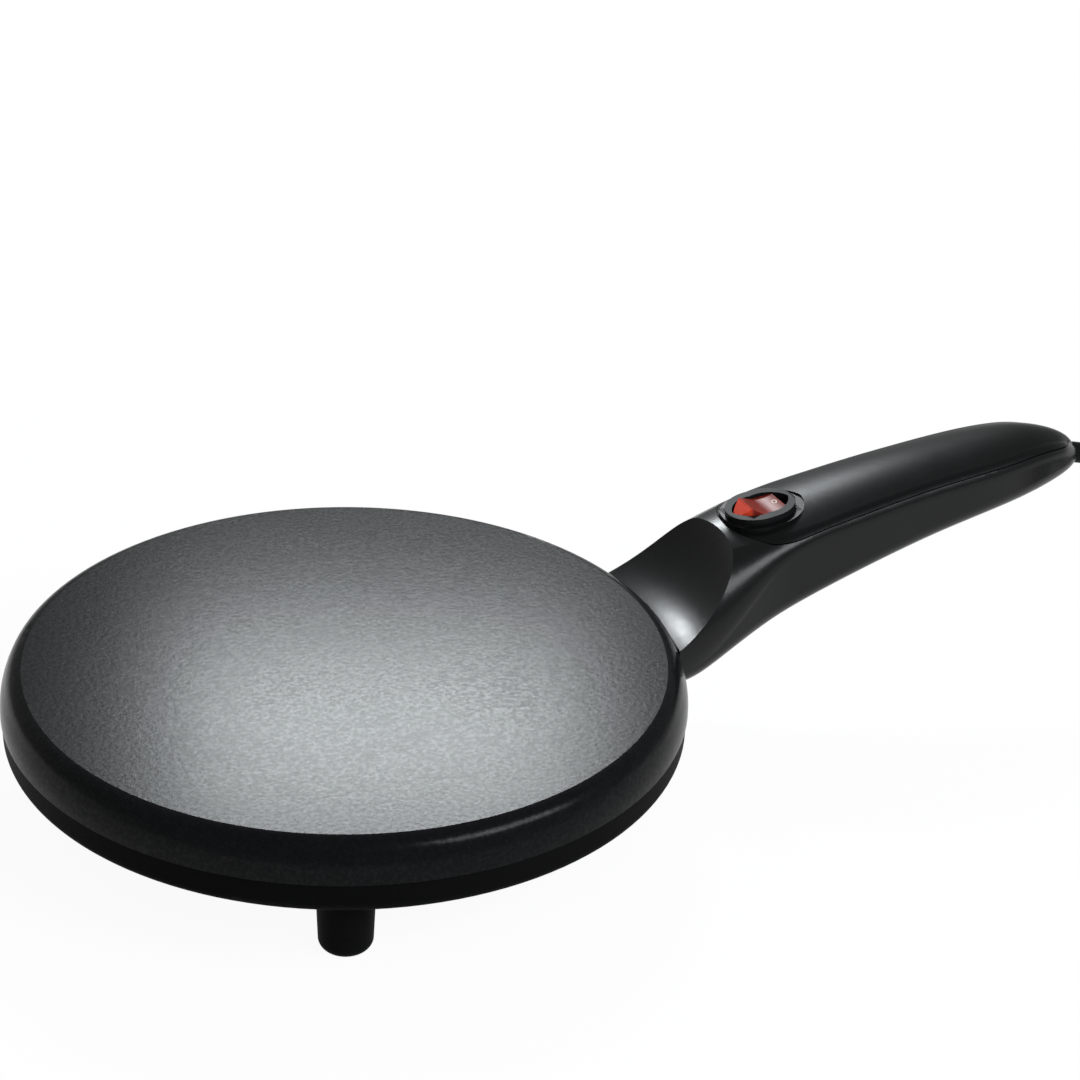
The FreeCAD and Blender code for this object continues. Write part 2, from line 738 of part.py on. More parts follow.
foot_circle = base_radius - dim.foot_inset
spigot_length = dim.base_wall + dim.socket_height
for name, angle in FOOT_ANGLES.items():
    spot = polar(foot_circle, angle)
    columns.append(cylinder(f"{name}_socket", dim.socket_radius, spigot_length, *spot, dim.foot_length))
    base_openings.append(cylinder(f"{name}_bore", dim.spigot_radius + dim.fit_gap, spigot_length,
                                  *spot, dim.foot_length))
    keep(turned(name, [
        (0.0, 0.0),
        (dim.foot_flat_radius, 0.0),
        (dim.foot_waist_radius - dim.foot_round * 0.2, dim.foot_round * 0.42,
         dim.foot_waist_radius, dim.foot_round),
        (dim.foot_radius, dim.foot_length),
        (dim.spigot_radius, dim.foot_length),
        (dim.spigot_radius, dim.foot_length + spigot_length),
        (0.0, dim.foot_length + spigot_length),
    ], *spot))

tongue_top = base_floor + dim.seat_gap + dim.tongue_thickness
tongue_back = dim.plate_radius - dim.tongue_length
tongue_spots = [(tongue_back + dim.tongue_width * 0.5, (dim.tongue_side + dim.tongue_width * 0.5) * sign)
                for sign in (1.0, -1.0)]
for number, spot in enumerate(tongue_spots):
    base_openings.append(cylinder(f"neck_screw_hole{number}", dim.small_screw_radius + dim.seat_gap,
                                  dim.base_wall, *spot, dim.foot_length))
neck_opening = block("neck_opening", 12.0, dim.neck_opening_half_width * 2, dim.base_depth + dim.lip_height,
                     base_radius - 2.0, 0.0, base_floor)
keep(cut("base_shell", joined("base_moulding", base_tray, *columns), neck_opening, *base_openings))
screws("neck_screws", dim.small_head_radius, dim.small_head_height, dim.small_screw_radius,
       dim.base_wall + dim.tongue_thickness, [(*spot, dim.foot_length) for spot in tongue_spots])

TIP_FULLNESS = 2.2

# Handle form, lofted through sections whose sizes follow smooth curves along the reach
# Its tip is cut a little short of the point that the curves close on, which leaves a small flat
seam_height = float(seam)
tip_offset = mm.handle_length + mm.tip_flat
taper_start = mm.handle_length - mm.tip_taper_length
round_start = mm.handle_length - mm.tip_round_length
crest_place = mm.handle_length - mm.crest_back
tip_reach = mm.plate_radius + tip_offset


def smooth(value):
    """A soft step from 0 to 1."""
    value = min(1.0, max(0.0, value))
    return value * value * (3 - 2 * value)


def mix(first, second, share):
    return first + (second - first) * share


def half_width(reach):
    """Half the handle's width: broad at the neck, drawn in to the grip and rounded off at the tip."""
    offset = reach - mm.plate_radius
    taper = smooth((offset - mm.neck_taper_start) / (mm.grip_start - mm.neck_taper_start))
    along = min(1.0, max(0.0, (offset - mm.grip_start) / (taper_start - mm.grip_start)))
    width = mix(mm.neck_half_width, mix(mm.grip_front_half_width, mm.grip_back_half_width, along), taper)
    closing = max(0.0, (offset - taper_start) / (tip_offset - taper_start))
    return width * (1 - closing**TIP_FULLNESS) ** (1 / TIP_FULLNESS)


def tip_share(reach):
    """How much of the handle's height is left as its tip rounds off."""
    closing = (reach - mm.plate_radius - round_start) / (tip_offset - round_start)
    return math.sqrt(1 - max(0.0, closing) ** 2)


def top_height(reach):
    """Height of the handle's top line above the table."""
    offset = reach - mm.plate_radius
    away = max(0.0, (crest_place - offset) / (crest_place - mm.grip_start))
    crown = mm.crest_height - mm.crest_fall * away**2
    return seam_height + mix(mm.tip_height, crown, tip_share(reach))


def bottom_height(reach):
    """Height of the handle's bottom line above the table: level at the neck, then swept up to the grip."""
    offset = reach - mm.plate_radius
    along = min(1.0, max(0.0, (offset - mm.sweep_start) / (mm.handle_length - mm.sweep_start)))
    low = mm.grip_bottom_height - (mm.grip_bottom_height + mm.neck_drop) * (1 - along) ** mm.sweep_power
    return seam_height + mix(mm.tip_height, low, tip_share(reach))


def handle_section(reach, inset):
    """One closed section: a flat bottom, rounded corners, upright sides, shoulders and a crowned top."""
    offset = reach - mm.plate_radius
    half = half_width(reach) - inset
    low = bottom_height(reach) + inset
    high = top_height(reach) - inset
    depth = high - low
    grip = smooth((offset - mm.sweep_start) / (mm.grip_start - mm.sweep_start))
    corner = min(mix(mm.neck_corner, mm.grip_corner, grip) - inset * 0.7, depth * 0.35, half * 0.5)
    shoulder_width = min(mix(half * 0.65, mm.grip_shoulder_width, grip), half * 0.6)
    shoulder_depth = mix(mm.neck_shoulder_depth, mm.grip_shoulder_depth, grip)
    shoulder_depth = min(shoulder_depth, depth * mix(0.9, 0.5, grip))
    rise = min(mix(mm.neck_crown, mm.grip_crown, grip), depth * 0.2)

    def at(side, height):
        return Vector(reach, side, height)

    shoulder_top = high - rise
    shoulder_bottom = max(shoulder_top - shoulder_depth, low + corner + 0.3)
    inner = half - shoulder_width
    edges = []
    for sign in (1, -1):
        lower = at((half - corner) * sign, low)
        bend = at((half - corner * 0.293) * sign, low + corner * 0.293)
        side_low = at(half * sign, low + corner)
        side_high = at(half * sign, shoulder_bottom)
        bulge = at((inner + shoulder_width * 0.69) * sign, mix(shoulder_bottom, shoulder_top, 0.69))
        shoulder = at(inner * sign, shoulder_top)
        edges.append([Part.Arc(lower, bend, side_low), Part.LineSegment(side_low, side_high),
                      Part.Arc(side_high, bulge, shoulder)])
    bottom = Part.LineSegment(at(-(half - corner), low), at(half - corner, low))
    crown = Part.Arc(at(inner, shoulder_top), at(0, high), at(-inner, shoulder_top))
    ordered = [bottom, *edges[0], crown, *reversed(edges[1])]
    return Part.Wire(Part.__sortEdges__([edge.toShape() for edge in ordered]))


NECK_OFFSETS = (-14.0, 0.0, 12.0, 20.0, 28.0, 36.0)
GRIP_SHARES = (0.0, 0.18, 0.38, 0.6, 0.82)
TIP_BACKS = (26.6, 20.0, 14.0, 9.0, 5.5, 3.0, 1.5, mm.tip_flat)
TIP_WALL = 11.0
form_reaches = [mm.plate_radius + offset for offset in NECK_OFFSETS]
form_reaches += [mm.plate_radius + mix(mm.grip_start, round_start, share) for share in GRIP_SHARES]
form_reaches += [tip_reach - back for back in TIP_BACKS]
form_shape = Part.makeLoft([handle_section(reach, 0.0) for reach in form_reaches], True, False)
handle_form = shaped("handle_form", form_shape)
cavity_end = tip_reach - TIP_WALL
cavity_reaches = [reach for reach in form_reaches if reach < cavity_end - 4.0] + [cavity_end]
cavity_shape = Part.makeLoft([handle_section(reach, mm.handle_wall) for reach in cavity_reaches], True, False)
handle_cavity = shaped("handle_cavity", cavity_shape)


def guard_cutter(name, extra):
    """The hollow turned round the plate's axis that leaves the guard, grown by an extra wall."""
    edge = dim.plate_radius + dim.guard_gap + extra
    return turned(name, [
        (0.0, -extra),
        (edge, -extra),
        (edge, dim.guard_low_height - extra * 0.7),
        (dim.plate_radius + dim.guard_middle_offset + extra * 0.7, dim.guard_middle_height - extra * 0.7,
         dim.plate_radius + dim.guard_top_offset + extra, dim.guard_top_height),
        (dim.plate_radius + dim.guard_top_offset + extra, dim.guard_top_height + 20.0),
        (0.0, dim.guard_top_height + 20.0),
    ], height=seam)


guard_hollow = guard_cutter("guard_hollow", 0.0)
guard_wall = guard_cutter("guard_wall", dim.handle_wall)
base_clearance = cylinder("base_clearance", base_radius + dim.fit_gap, seam, height=0.0)


def side_region(name, curve_points, corners):
    """A slab seen from the side as a smooth curve closed by straight lines, wide enough for the handle."""
    curve = Part.BSplineCurve()
    curve.interpolate([Vector(reach, -60, height) for reach, height in curve_points])
    points = [Vector(reach, -60, height) for reach, height in (curve_points[-1], *corners, curve_points[0])]
    lines = [Part.LineSegment(a, b).toShape() for a, b in zip(points, points[1:])]
    face = Part.Face(Part.Wire([curve.toShape(), *lines]))
    return shaped(name, face.extrude(Vector(0, 120, 0)))


def cover_edge(reach):
    """Height of the top cover's edge, a crown below the handle's top line, level at the front corner."""
    edge = top_height(reach) - mm.cover_crown * tip_share(reach)
    return max(edge, seam_height + mm.cover_corner_height)


def cover_curve(gap):
    """The cover's parting line seen from the side: level at the front, then along the handle's top line."""
    front = mm.plate_radius + mm.cover_front
    points = [(front - 5.0, cover_edge(front) - gap)]
    for share in (0.05, 0.1, 0.17, 0.25, 0.4, 0.58, 0.76, 0.87, 0.94):
        reach = mm.plate_radius + mix(mm.cover_front, mm.handle_length, share)
        points.append((reach, cover_edge(reach) - gap))
    points.append((beyond_tip, points[-1][1] - mm.cover_crown))
    return points


def cover_region_with(name, gap):
    """All above the cover's parting line and behind its rounded front, which bows towards the plate."""
    curve = cover_curve(gap)
    above = side_region(f"{name}_side", curve, [(beyond_tip, high_above), (curve[0][0], high_above)])
    centre = dim.plate_radius + dim.cover_front + dim.cover_front_radius
    bow = cylinder(f"{name}_bow", dim.cover_front_radius + gap, high_above, centre)
    rest = block(f"{name}_rest", dim.handle_length, 120.0, high_above, centre + dim.handle_length * 0.5)
    return shared(name, above, joined(f"{name}_plan", bow, rest))


high_above = seam_height + mm.crest_height + 30.0
beyond_tip = tip_reach + 6.0
cover_region = cover_region_with("cover_region", 0.0)
cover_clearance = cover_region_with("cover_clearance", mm.parting_gap)


def bottom_curve(gap):
    """The bottom cover's parting line, a little above the handle's bottom line."""
    points = []
    for share in (0.0, 0.1, 0.24, 0.42, 0.63, 0.83, 1.0):
        reach = mm.plate_radius + mix(mm.bottom_cover_start, mm.handle_length - TIP_WALL, share)
        points.append((reach, bottom_height(reach) + mm.bottom_cover_height + gap))
    return points


def bottom_region(name, gap):
    """All that lies below the bottom cover's parting line, between its two ends."""
    points = bottom_curve(gap)
    first_reach = points[0][0] - gap
    last_reach = points[-1][0] + gap
    points[0] = (first_reach, points[0][1])
    points[-1] = (last_reach, points[-1][1])
    return side_region(name, points, [(last_reach, 0.0), (first_reach, 0.0)])


low_region = bottom_region("bottom_cover_region", 0.0)
low_clearance = bottom_region("bottom_cover_clearance", mm.fit_gap)

# The relief's axis leans down from the handle's tip
droop = math.radians(mm.cord_droop_angle)
relief_turn = Rotation(Vector(0, 1, 0), 90 + mm.cord_droop_angle)
relief_reach = handle_reach - dim.relief_root
relief_height = seam + dim.relief_root_height


def on_relief_axis(distance):
    """Reach and height of a point on the relief's axis, outward from its root."""
    return relief_reach + distance * math.cos(droop), relief_height - distance * math.sin(droop)


inner_reach, inner_height = on_relief_axis(-dim.relief_inner_length)
relief_bore = cylinder("relief_bore", dim.relief_root_radius + dim.fit_gap, dim.relief_inner_length + 12.0,
                       inner_reach, 0.0, inner_height, relief_turn)
flange_reach, flange_height = on_relief_axis(-dim.relief_inner_length - dim.relief_flange_width)
flange_seat = cylinder("flange_seat", dim.relief_flange_radius + dim.seat_gap,
                       dim.relief_flange_width + dim.fit_gap, flange_reach, 0.0, flange_height, relief_turn)

# Handle body: side walls, collar, guard and tongues
tongues = []
tongue_holes = []
for number, (spot, sign) in enumerate(zip(tongue_spots, (1.0, -1.0))):
    tongues.append(block(f"tongue{number}", dim.tongue_length + dim.handle_wall, dim.tongue_width,
                         dim.tongue_thickness, dim.plate_radius - dim.tongue_length * 0.5
                         + dim.handle_wall * 0.5, (dim.tongue_side + dim.tongue_width * 0.5) * sign,
                         base_floor + dim.seat_gap))
    tongue_holes.append(cylinder(f"tongue_hole{number}", small_hole, dim.tongue_thickness,
                                 *spot, base_floor + dim.seat_gap))
neck_cavity = cut("neck_cavity", handle_cavity, guard_wall)
handle_walls = cut("handle_walls", handle_form, neck_cavity, guard_hollow, base_clearance)
switch_slot = block("switch_slot", dim.switch_box_length + dim.seat_gap * 2, dim.switch_box_width
                    + dim.seat_gap * 2, 30.0, switch_reach, 0.0, housing_top - 25.0)
switch_hole = leaned(group("switch_hole", switch_slot))
split_walls = cut("split_walls", handle_walls, cover_clearance, low_clearance, relief_bore, flange_seat,
                  switch_hole)
keep(cut("handle_body", joined("handle_with_tongues", split_walls, *tongues), *tongue_holes))

# Switch place on the top cover


def oval(name, half_length, half_width, depth, offset, bottom):
    """An upright oval block round a place behind the plate's edge."""
    return pushed(name, [
        (half_length * -0.7071, half_width * 0.7071, 0.0, half_width),
        (half_length * 0.7071, half_width * 0.7071, half_length, 0.0),
        (half_length * 0.7071, half_width * -0.7071, 0.0, -half_width),
        (half_length * -0.7071, half_width * -0.7071, -half_length, 0.0),
    ], depth, "XY_Plane", dim.plate_radius + offset, 0.0, bottom, both_ways=False)


PLATFORM_DEPTH = 9.0
platform = leaned(group("switch_platform", oval("platform_oval", dim.platform_half_length,
                                                dim.platform_half_width, PLATFORM_DEPTH,
                                                dim.platform_offset, housing_top - PLATFORM_DEPTH)))
seat_recess = leaned(group("seat_recess", oval("seat_oval", dim.platform_half_length, dim.platform_half_width,
                                               PLATFORM_DEPTH, dim.platform_offset, housing_top)))
cover_blank = joined("cover_blank", handle_form, platform)
cover_outside = shared("cover_outside", cover_blank, cover_region)
pillar_pitch = (dim.handle_length - dim.pillar_last_back - dim.pillar_first) / (PILLARS - 1)
pillar_places = [dim.plate_radius + dim.pillar_first + pillar_pitch * number for number in range(PILLARS)]
posts = []
pillars = []
post_holes = []
pillar_holes = []
pillar_heads = []
for number, reach in enumerate(pillar_places):
    low = bottom_height(float(reach))
    joint_height = mix(low, top_height(float(reach)), 0.5)
    posts.append(cylinder(f"post{number}", dim.post_radius, 30.0, reach, 0.0, joint_height + mm.seat_gap))
    pillars.append(cylinder(f"pillar{number}", dim.pillar_radius, joint_height - low + 12.0,
                            reach, 0.0, low - 12.0))
    head_seat = low + mm.handle_wall + 1.0
    post_holes.append(cylinder(f"post_hole{number}", small_hole, 5.0, reach, 0.0, joint_height))
    pillar_holes.append(cylinder(f"pillar_hole{number}", dim.small_screw_radius + dim.seat_gap, 30.0,
                                 reach, 0.0, low - 5.0))
    pillar_holes.append(cylinder(f"pillar_recess{number}", dim.small_head_radius + dim.seat_gap, 12.0,
                                 reach, 0.0, head_seat - 12.0))
    pillar_heads.append((reach, 0.0, head_seat, joint_height + 4.5 - head_seat))
shallow_cavity = cut("cover_cavity", handle_cavity, guard_wall)
cover_skin = cut("cover_skin", cover_outside, shallow_cavity)
cover_posts = shared("cover_posts", group("post_set", *posts), cover_blank)
keep(cut("top_cover", joined("cover_with_posts", cover_skin, cover_posts), switch_hole, seat_recess,
         relief_bore, flange_seat, *post_holes))

# Bottom cover with its screw pillars and the posts of the cord clamp
clamp_reach = handle_reach - 27.0
tail_height = seam + dim.tail_height
clamp_post_top = tail_height
clamp_posts = [cylinder(f"clamp_post{number}", dim.clamp_post_radius, clamp_post_top - 20.0,
                        clamp_reach, dim.clamp_post_side * sign, 20.0) for number, sign in enumerate((1.0, -1.0))]
clamp_post_holes = [cylinder(f"clamp_post_hole{number}", small_hole, 5.0, clamp_reach,
                             dim.clamp_post_side * sign, clamp_post_top - 5.0)
                    for number, sign in enumerate((1.0, -1.0))]
bottom_outside = shared("bottom_outside", handle_form, low_region)
bottom_skin = cut("bottom_skin", bottom_outside, shallow_cavity)
pillar_set = shared("pillar_set", group("pillar_blanks", *pillars, *clamp_posts), handle_form)
keep(cut("handle_bottom_cover", joined("bottom_with_pillars", bottom_skin, pillar_set),
         relief_bore, flange_seat, *pillar_holes, *clamp_post_holes))
handle_screw_set = []
for number, (reach, side, seat, length) in enumerate(pillar_heads):
    head = cylinder(f"handle_screw_head{number}", dim.small_head_radius, dim.small_head_height,
                    reach, side, seat - mm.small_head_height)
    shank = cylinder(f"handle_screw_shank{number}", dim.small_screw_radius, length, reach, side, seat)
    handle_screw_set.append(joined(f"handle_screw{number}", head, shank))
keep(group("handle_screws", *handle_screw_set))

# Switch housing: an oval bezel over a box that goes through the cover
bezel_plate = turned("bezel_blank", [
    (0.0, 0.0),
    (dim.bezel_half_length, 0.0),
    (dim.bezel_half_length, dim.bezel_height - dim.bezel_round),
    (dim.bezel_half_length - dim.bezel_round * 0.293, dim.bezel_height - dim.bezel_round * 0.293,
     dim.bezel_half_length - dim.bezel_round, dim.bezel_height),
    (0.0, dim.bezel_height),
], switch_reach, 0.0, housing_top)
bezel_oval = oval("bezel_oval", dim.bezel_half_length, dim.bezel_half_width, dim.bezel_height,
                  dim.switch_offset, housing_top)
bezel = shared("bezel", bezel_plate, bezel_oval)
switch_box = block("switch_box", dim.switch_box_length, dim.switch_box_width, dim.switch_box_depth,
                   switch_reach, 0.0, housing_top - dim.switch_box_depth)
box_bottom = housing_top - dim.switch_box_depth
box_floor = box_bottom + dim.switch_floor
switch_cavity = block("switch_cavity", dim.switch_box_length - dim.switch_wall * 2, dim.switch_box_width
                      - dim.switch_wall * 2, dim.switch_box_depth - dim.switch_floor, switch_reach, 0.0, box_floor)
rocker_window = oval("rocker_window", dim.rocker_half_length + dim.rocker_gap, dim.rocker_half_width
                     + dim.rocker_gap, dim.bezel_height + 2.0, dim.switch_offset, housing_top - 1.0)
pivot_bore = cylinder("pivot_bore", dim.pivot_radius + dim.fit_gap, dim.switch_box_width, switch_reach,
                      dim.switch_box_width * -0.5, pivot_height, ACROSS)
terminal_slots = [block(f"terminal_slot{number}", dim.tab_thickness + dim.fit_gap * 2, dim.terminal_width
                        + dim.fit_gap * 2, dim.switch_floor, switch_reach + dim.terminal_pitch * step, 0.0,
                        box_bottom) for number, step in enumerate((-1.0, 0.0, 1.0))]
keep(leaned(cut("switch_housing", joined("switch_blank", bezel, switch_box), switch_cavity, rocker_window,
                pivot_bore, *terminal_slots)))

# Rocker, at rest tilted down at the cord's end, which is off
own_tilt = Rotation(Vector(0, 1, 0), mm.rocker_half_tilt)
rest_tilt = Rotation(Vector(0, 1, 0), mm.rocker_half_tilt - mm.switch_lean)


def rocker_oval(name, tilt):
    """The rocker's upright oval, tilted about its pivot so that it clears the window all the way."""
    item = oval(name, dim.rocker_half_length, dim.rocker_half_width, 12.0, 0.0, 0.0)
    lift = Placement(Vector(0, 0, -6.0), Rotation())
    spin = Placement(Vector(0, 0, 0), Rotation(Vector(0, 1, 0), tilt))
    item.Placement = spin.multiply(lift)
    item.setExpression(".Placement.Base.x", None)
    item.setExpression(".Placement.Base.z", None)
    return item


rocker_profile = doc.addObject("PartDesign::Body", "rocker_profile")
rocker_sketch = draw_outline(rocker_profile, "XZ_Plane", [
    (-dim.rocker_half_length, -dim.rocker_skirt),
    (-dim.rocker_half_length, 0.0),
    (-dim.ridge_place, dim.ridge_height),
    (dim.ridge_place * -0.5, dim.saddle_height + 0.5, 0.0, dim.saddle_height),
    (dim.ridge_place * 0.5, dim.saddle_height + 0.5, dim.ridge_place, dim.ridge_height),
    (dim.rocker_half_length, 0.0),
    (dim.rocker_half_length, -dim.rocker_skirt),
])
rocker_push = rocker_profile.newObject("PartDesign::Pad", "rocker_push")
rocker_push.Profile = rocker_sketch
bind(rocker_push, Length=dim.rocker_half_width * 2)
rocker_push.Midplane = True
rocker_profile.Tip = rocker_push


def local_cylinder(name, radius, length, x=0.0, y=0.0, z=0.0, turn=Rotation()):
    """A cylinder in the rocker's own frame, whose origin is the pivot."""
    item = doc.addObject("Part::Cylinder", name)
    bind(item, Radius=radius, Height=length)
    item.Placement = Placement(Vector(float(x), float(y), float(z)), turn)
    for letter, size in zip("xyz", (x, y, z)):
        if isinstance(size, Size):
            item.setExpression(f".Placement.Base.{letter}", size.text)
    return item


tilted_ovals = shared("rocker_outline", rocker_oval("rocker_oval_on", -2 * mm.rocker_half_tilt),
                      rocker_oval("rocker_oval_off", 0.0))
tilted_ovals.Placement = Placement(Vector(0, 0, 0), own_tilt)
rocker_cap = shared("rocker_cap", rocker_profile, tilted_ovals)
pin_half = dim.switch_box_width * 0.5 - dim.seat_gap
rocker_pin = local_cylinder("rocker_pin", dim.pivot_radius, pin_half * 2, 0.0, -pin_half, 0.0, ACROSS)
stem = local_cylinder("rocker_stem", dim.stem_radius, dim.stem_length, z=-dim.rocker_skirt - dim.stem_length)
plunger_top = dim.plunger_length - dim.plunger_reach
spring_top = 0.3
bore_bottom = -dim.rocker_skirt - dim.stem_length
plunger_bore = local_cylinder("plunger_bore", dim.plunger_radius + dim.fit_gap, spring_top - bore_bottom,
                              z=bore_bottom)
lamp_pocket = doc.addObject("Part::Box", "lamp_pocket")
bind(lamp_pocket, Length=dim.lamp_radius * 2 + dim.fit_gap * 2, Width=dim.lamp_length + dim.fit_gap * 2,
     Height=dim.rocker_skirt + 1.0)
lamp_pocket.Placement = Placement(Vector(mm.lamp_place - mm.lamp_radius - mm.fit_gap,
                                         -mm.lamp_length / 2 - mm.fit_gap, -mm.rocker_skirt), Rotation())
lamp_pocket.setExpression(".Placement.Base.x", (dim.lamp_place - dim.lamp_radius - dim.fit_gap).text)
lamp_pocket.setExpression(".Placement.Base.y", (dim.lamp_length * -0.5 - dim.fit_gap).text)
lamp_pocket.setExpression(".Placement.Base.z", (-dim.rocker_skirt).text)
rocker_solid = joined("rocker_solid", rocker_cap, rocker_pin, stem)
switch_rocker = cut("switch_rocker", rocker_solid, plunger_bore, lamp_pocket)
keep(place(switch_rocker, switch_reach, 0.0, pivot_height, rest_tilt))

plunger_shank = local_cylinder("plunger_shank", dim.plunger_radius, dim.plunger_length - dim.plunger_radius,
                               z=dim.plunger_radius - dim.plunger_reach)
plunger_nose = doc.addObject("Part::Sphere", "plunger_nose")
bind(plunger_nose, Radius=dim.plunger_radius)
plunger_nose.Placement = Placement(Vector(0, 0, mm.plunger_radius - mm.plunger_reach), Rotation())
plunger_nose.setExpression(".Placement.Base.z", (dim.plunger_radius - dim.plunger_reach).text)
keep(place(joined("switch_plunger", plunger_shank, plunger_nose), switch_reach, 0.0, pivot_height, rest_tilt))

spring_outer = local_cylinder("spring_outer", dim.spring_radius, spring_top - plunger_top, z=plunger_top)
spring_inner = local_cylinder("spring_inner", dim.spring_radius - dim.spring_wire, spring_top - plunger_top,
                              z=plunger_top)
switch_spring = cut("switch_spring", spring_outer, spring_inner)
keep(place(switch_spring, switch_reach, 0.0, pivot_height, rest_tilt))

neon = local_cylinder("neon_glass", dim.lamp_radius, dim.lamp_length, dim.lamp_place, dim.lamp_length * -0.5,
                      1.0 - dim.lamp_radius, ACROSS)
keep(place(group("neon_lamp", neon), switch_reach, 0.0, pivot_height, rest_tilt))

# Contact arm, whose roll rocks in a notch of the middle terminal, at rest tilted down at the plate's end
arm_height = pivot_height - dim.arm_drop
arm_bar = doc.addObject("Part::Box", "contact_bar")
bind(arm_bar, Length=dim.arm_length, Width=dim.arm_width, Height=dim.arm_thickness)
arm_bar.Placement = Placement(Vector(-mm.arm_length / 2, -mm.arm_width / 2, 0), Rotation())
arm_bar.setExpression(".Placement.Base.x", (dim.arm_length * -0.5).text)
arm_bar.setExpression(".Placement.Base.y", (dim.arm_width * -0.5).text)
arm_roll = local_cylinder("contact_roll", dim.arm_roll_radius, dim.arm_width, 0.0, dim.arm_width * -0.5, 0.0,
                          ACROSS)
arm_tilt = Rotation(Vector(0, 1, 0), -mm.arm_half_tilt - mm.switch_lean)
arm_reach, _, arm_level = on_switch(0.0, 0.0, -mm.arm_drop)
keep(place(joined("switch_contact_arm", arm_bar, arm_roll), arm_reach, 0.0, arm_level, arm_tilt))
print("contact pivot", float(axis_place) + arm_reach, arm_level)

CONTACT_GAP = 0.4
end_drop = dim.terminal_pitch * math.sin(math.radians(mm.arm_half_tilt)) + CONTACT_GAP
terminal_bottom = box_bottom - dim.terminal_length
terminal_tabs = []
for number, (step, top) in enumerate(((-1.0, arm_height - end_drop), (0.0, arm_height - CONTACT_GAP),
                                      (1.0, arm_height - end_drop))):
    terminal_tabs.append(block(f"switch_tab{number}", dim.tab_thickness, dim.terminal_width,
                               top - terminal_bottom, switch_reach + dim.terminal_pitch * step, 0.0,
                               terminal_bottom))
roll_notch = cylinder("roll_notch", dim.arm_roll_radius + dim.fit_gap, dim.terminal_width, switch_reach,
                      dim.terminal_width * -0.5, arm_height, ACROSS)
middle_tab = cut("middle_tab", terminal_tabs[1], roll_notch)
keep(leaned(group("switch_terminals", terminal_tabs[0], middle_tab, terminal_tabs[2])))

# Strain relief: a flange inside the tip, a neck and a taper outside it
relief_base = dim.relief_inner_length + dim.relief_flange_width
keep(turned("strain_relief", [
    (0.0, 0.0),
    (dim.relief_flange_radius, 0.0),
    (dim.relief_flange_radius, dim.relief_flange_width),
    (dim.relief_root_radius, dim.relief_flange_width),
    (dim.relief_root_radius, relief_base + dim.relief_root),
    (dim.relief_end_radius, relief_base + dim.relief_outer_length),
    (0.0, relief_base + dim.relief_outer_length),
], flange_reach, 0.0, flange_height, relief_turn))

# Cord tail inside the handle and the clamp that holds it
def on_axis(distance):
    """A point on the relief's axis, outward from its root, as plain numbers."""
    reach, height = on_relief_axis(distance)
    return float(reach), 0.0, float(height)


relief_inside = mm.relief_inner_length + mm.relief_flange_width
tail_reach = float(clamp_reach)
tail_end = tail_reach - 5.0
tail_level = float(tail_height)
tube("cord_tail", mm.cord_radius, [
    on_axis(-relief_inside - 0.1),
    on_axis(-relief_inside - 3.0),
    (tail_reach + 6.5, 0.0, tail_level),
    (tail_end, 0.0, tail_level),
])
clamp_bar = block("clamp_bar", dim.clamp_length, dim.clamp_post_side * 2 + dim.clamp_post_radius * 2,
                  dim.clamp_height, clamp_reach, 0.0, clamp_post_top + dim.seat_gap)
clamp_notch = cylinder("clamp_notch", dim.cord_radius + dim.fit_gap, dim.clamp_length,
                       clamp_reach - dim.clamp_length * 0.5, 0.0, tail_height, ALONG)
clamp_holes = [cylinder(f"clamp_hole{number}", small_hole, dim.clamp_height + 1.0, clamp_reach,
                        dim.clamp_post_side * sign, clamp_post_top) for number, sign in enumerate((1.0, -1.0))]
keep(cut("cord_clamp", clamp_bar, clamp_notch, *clamp_holes))
clamp_top = clamp_post_top + dim.seat_gap + dim.clamp_height
clamp_screw_set = []
for number, sign in enumerate((1.0, -1.0)):
    side = dim.clamp_post_side * sign
    head = cylinder(f"clamp_screw_head{number}", dim.small_head_radius, dim.clamp_head_height,
                    clamp_reach, side, clamp_top)
    shank = cylinder(f"clamp_screw_shank{number}", dim.small_screw_radius, dim.clamp_height + 4.0,
                     clamp_reach, side, clamp_top - dim.clamp_height - 4.0)
    clamp_screw_set.append(joined(f"clamp_screw{number}", head, shank))
keep(group("clamp_screws", *clamp_screw_set))

# Wires inside the handle and the base, each along its own route
switch_place = float(switch_reach)
neck_reach = mm.plate_radius + 20.0
tab_depth = float(pivot_height - terminal_bottom)
floor_level = float(base_floor)
tail_face = tail_end - 0.7
def wire_level(reach):
    """Height at which a wire lies just above the handle's bottom wall."""
    return bottom_height(reach) + mm.handle_wall + mm.wire_radius + 1.2


tube("wire_switch_to_thermostat", mm.wire_radius, [
    on_switch(-mm.terminal_pitch, 0.0, -tab_depth - 0.3),
    on_switch(-mm.terminal_pitch, 0.8, -tab_depth - 4.0),
    (neck_reach, 6.5, wire_level(neck_reach)),
    (switch_place - 36.0, 8.5, floor_level + 2.1),
    (mm.plate_radius - 42.0, 8.6, floor_level + 2.2),
    (30.0, 5.0, floor_level + 3.0),
    (20.0, 0.6, float(tab_height) + 0.3),
    (14.2, 0.0, float(tab_height) + 0.4),
])
last_pillar = float(pillar_places[-1])
grip_reach = mm.plate_radius + mm.grip_start
lead_reaches = [mix(last_pillar, grip_reach, share) for share in (0.0, 0.35, 0.7, 1.0)]


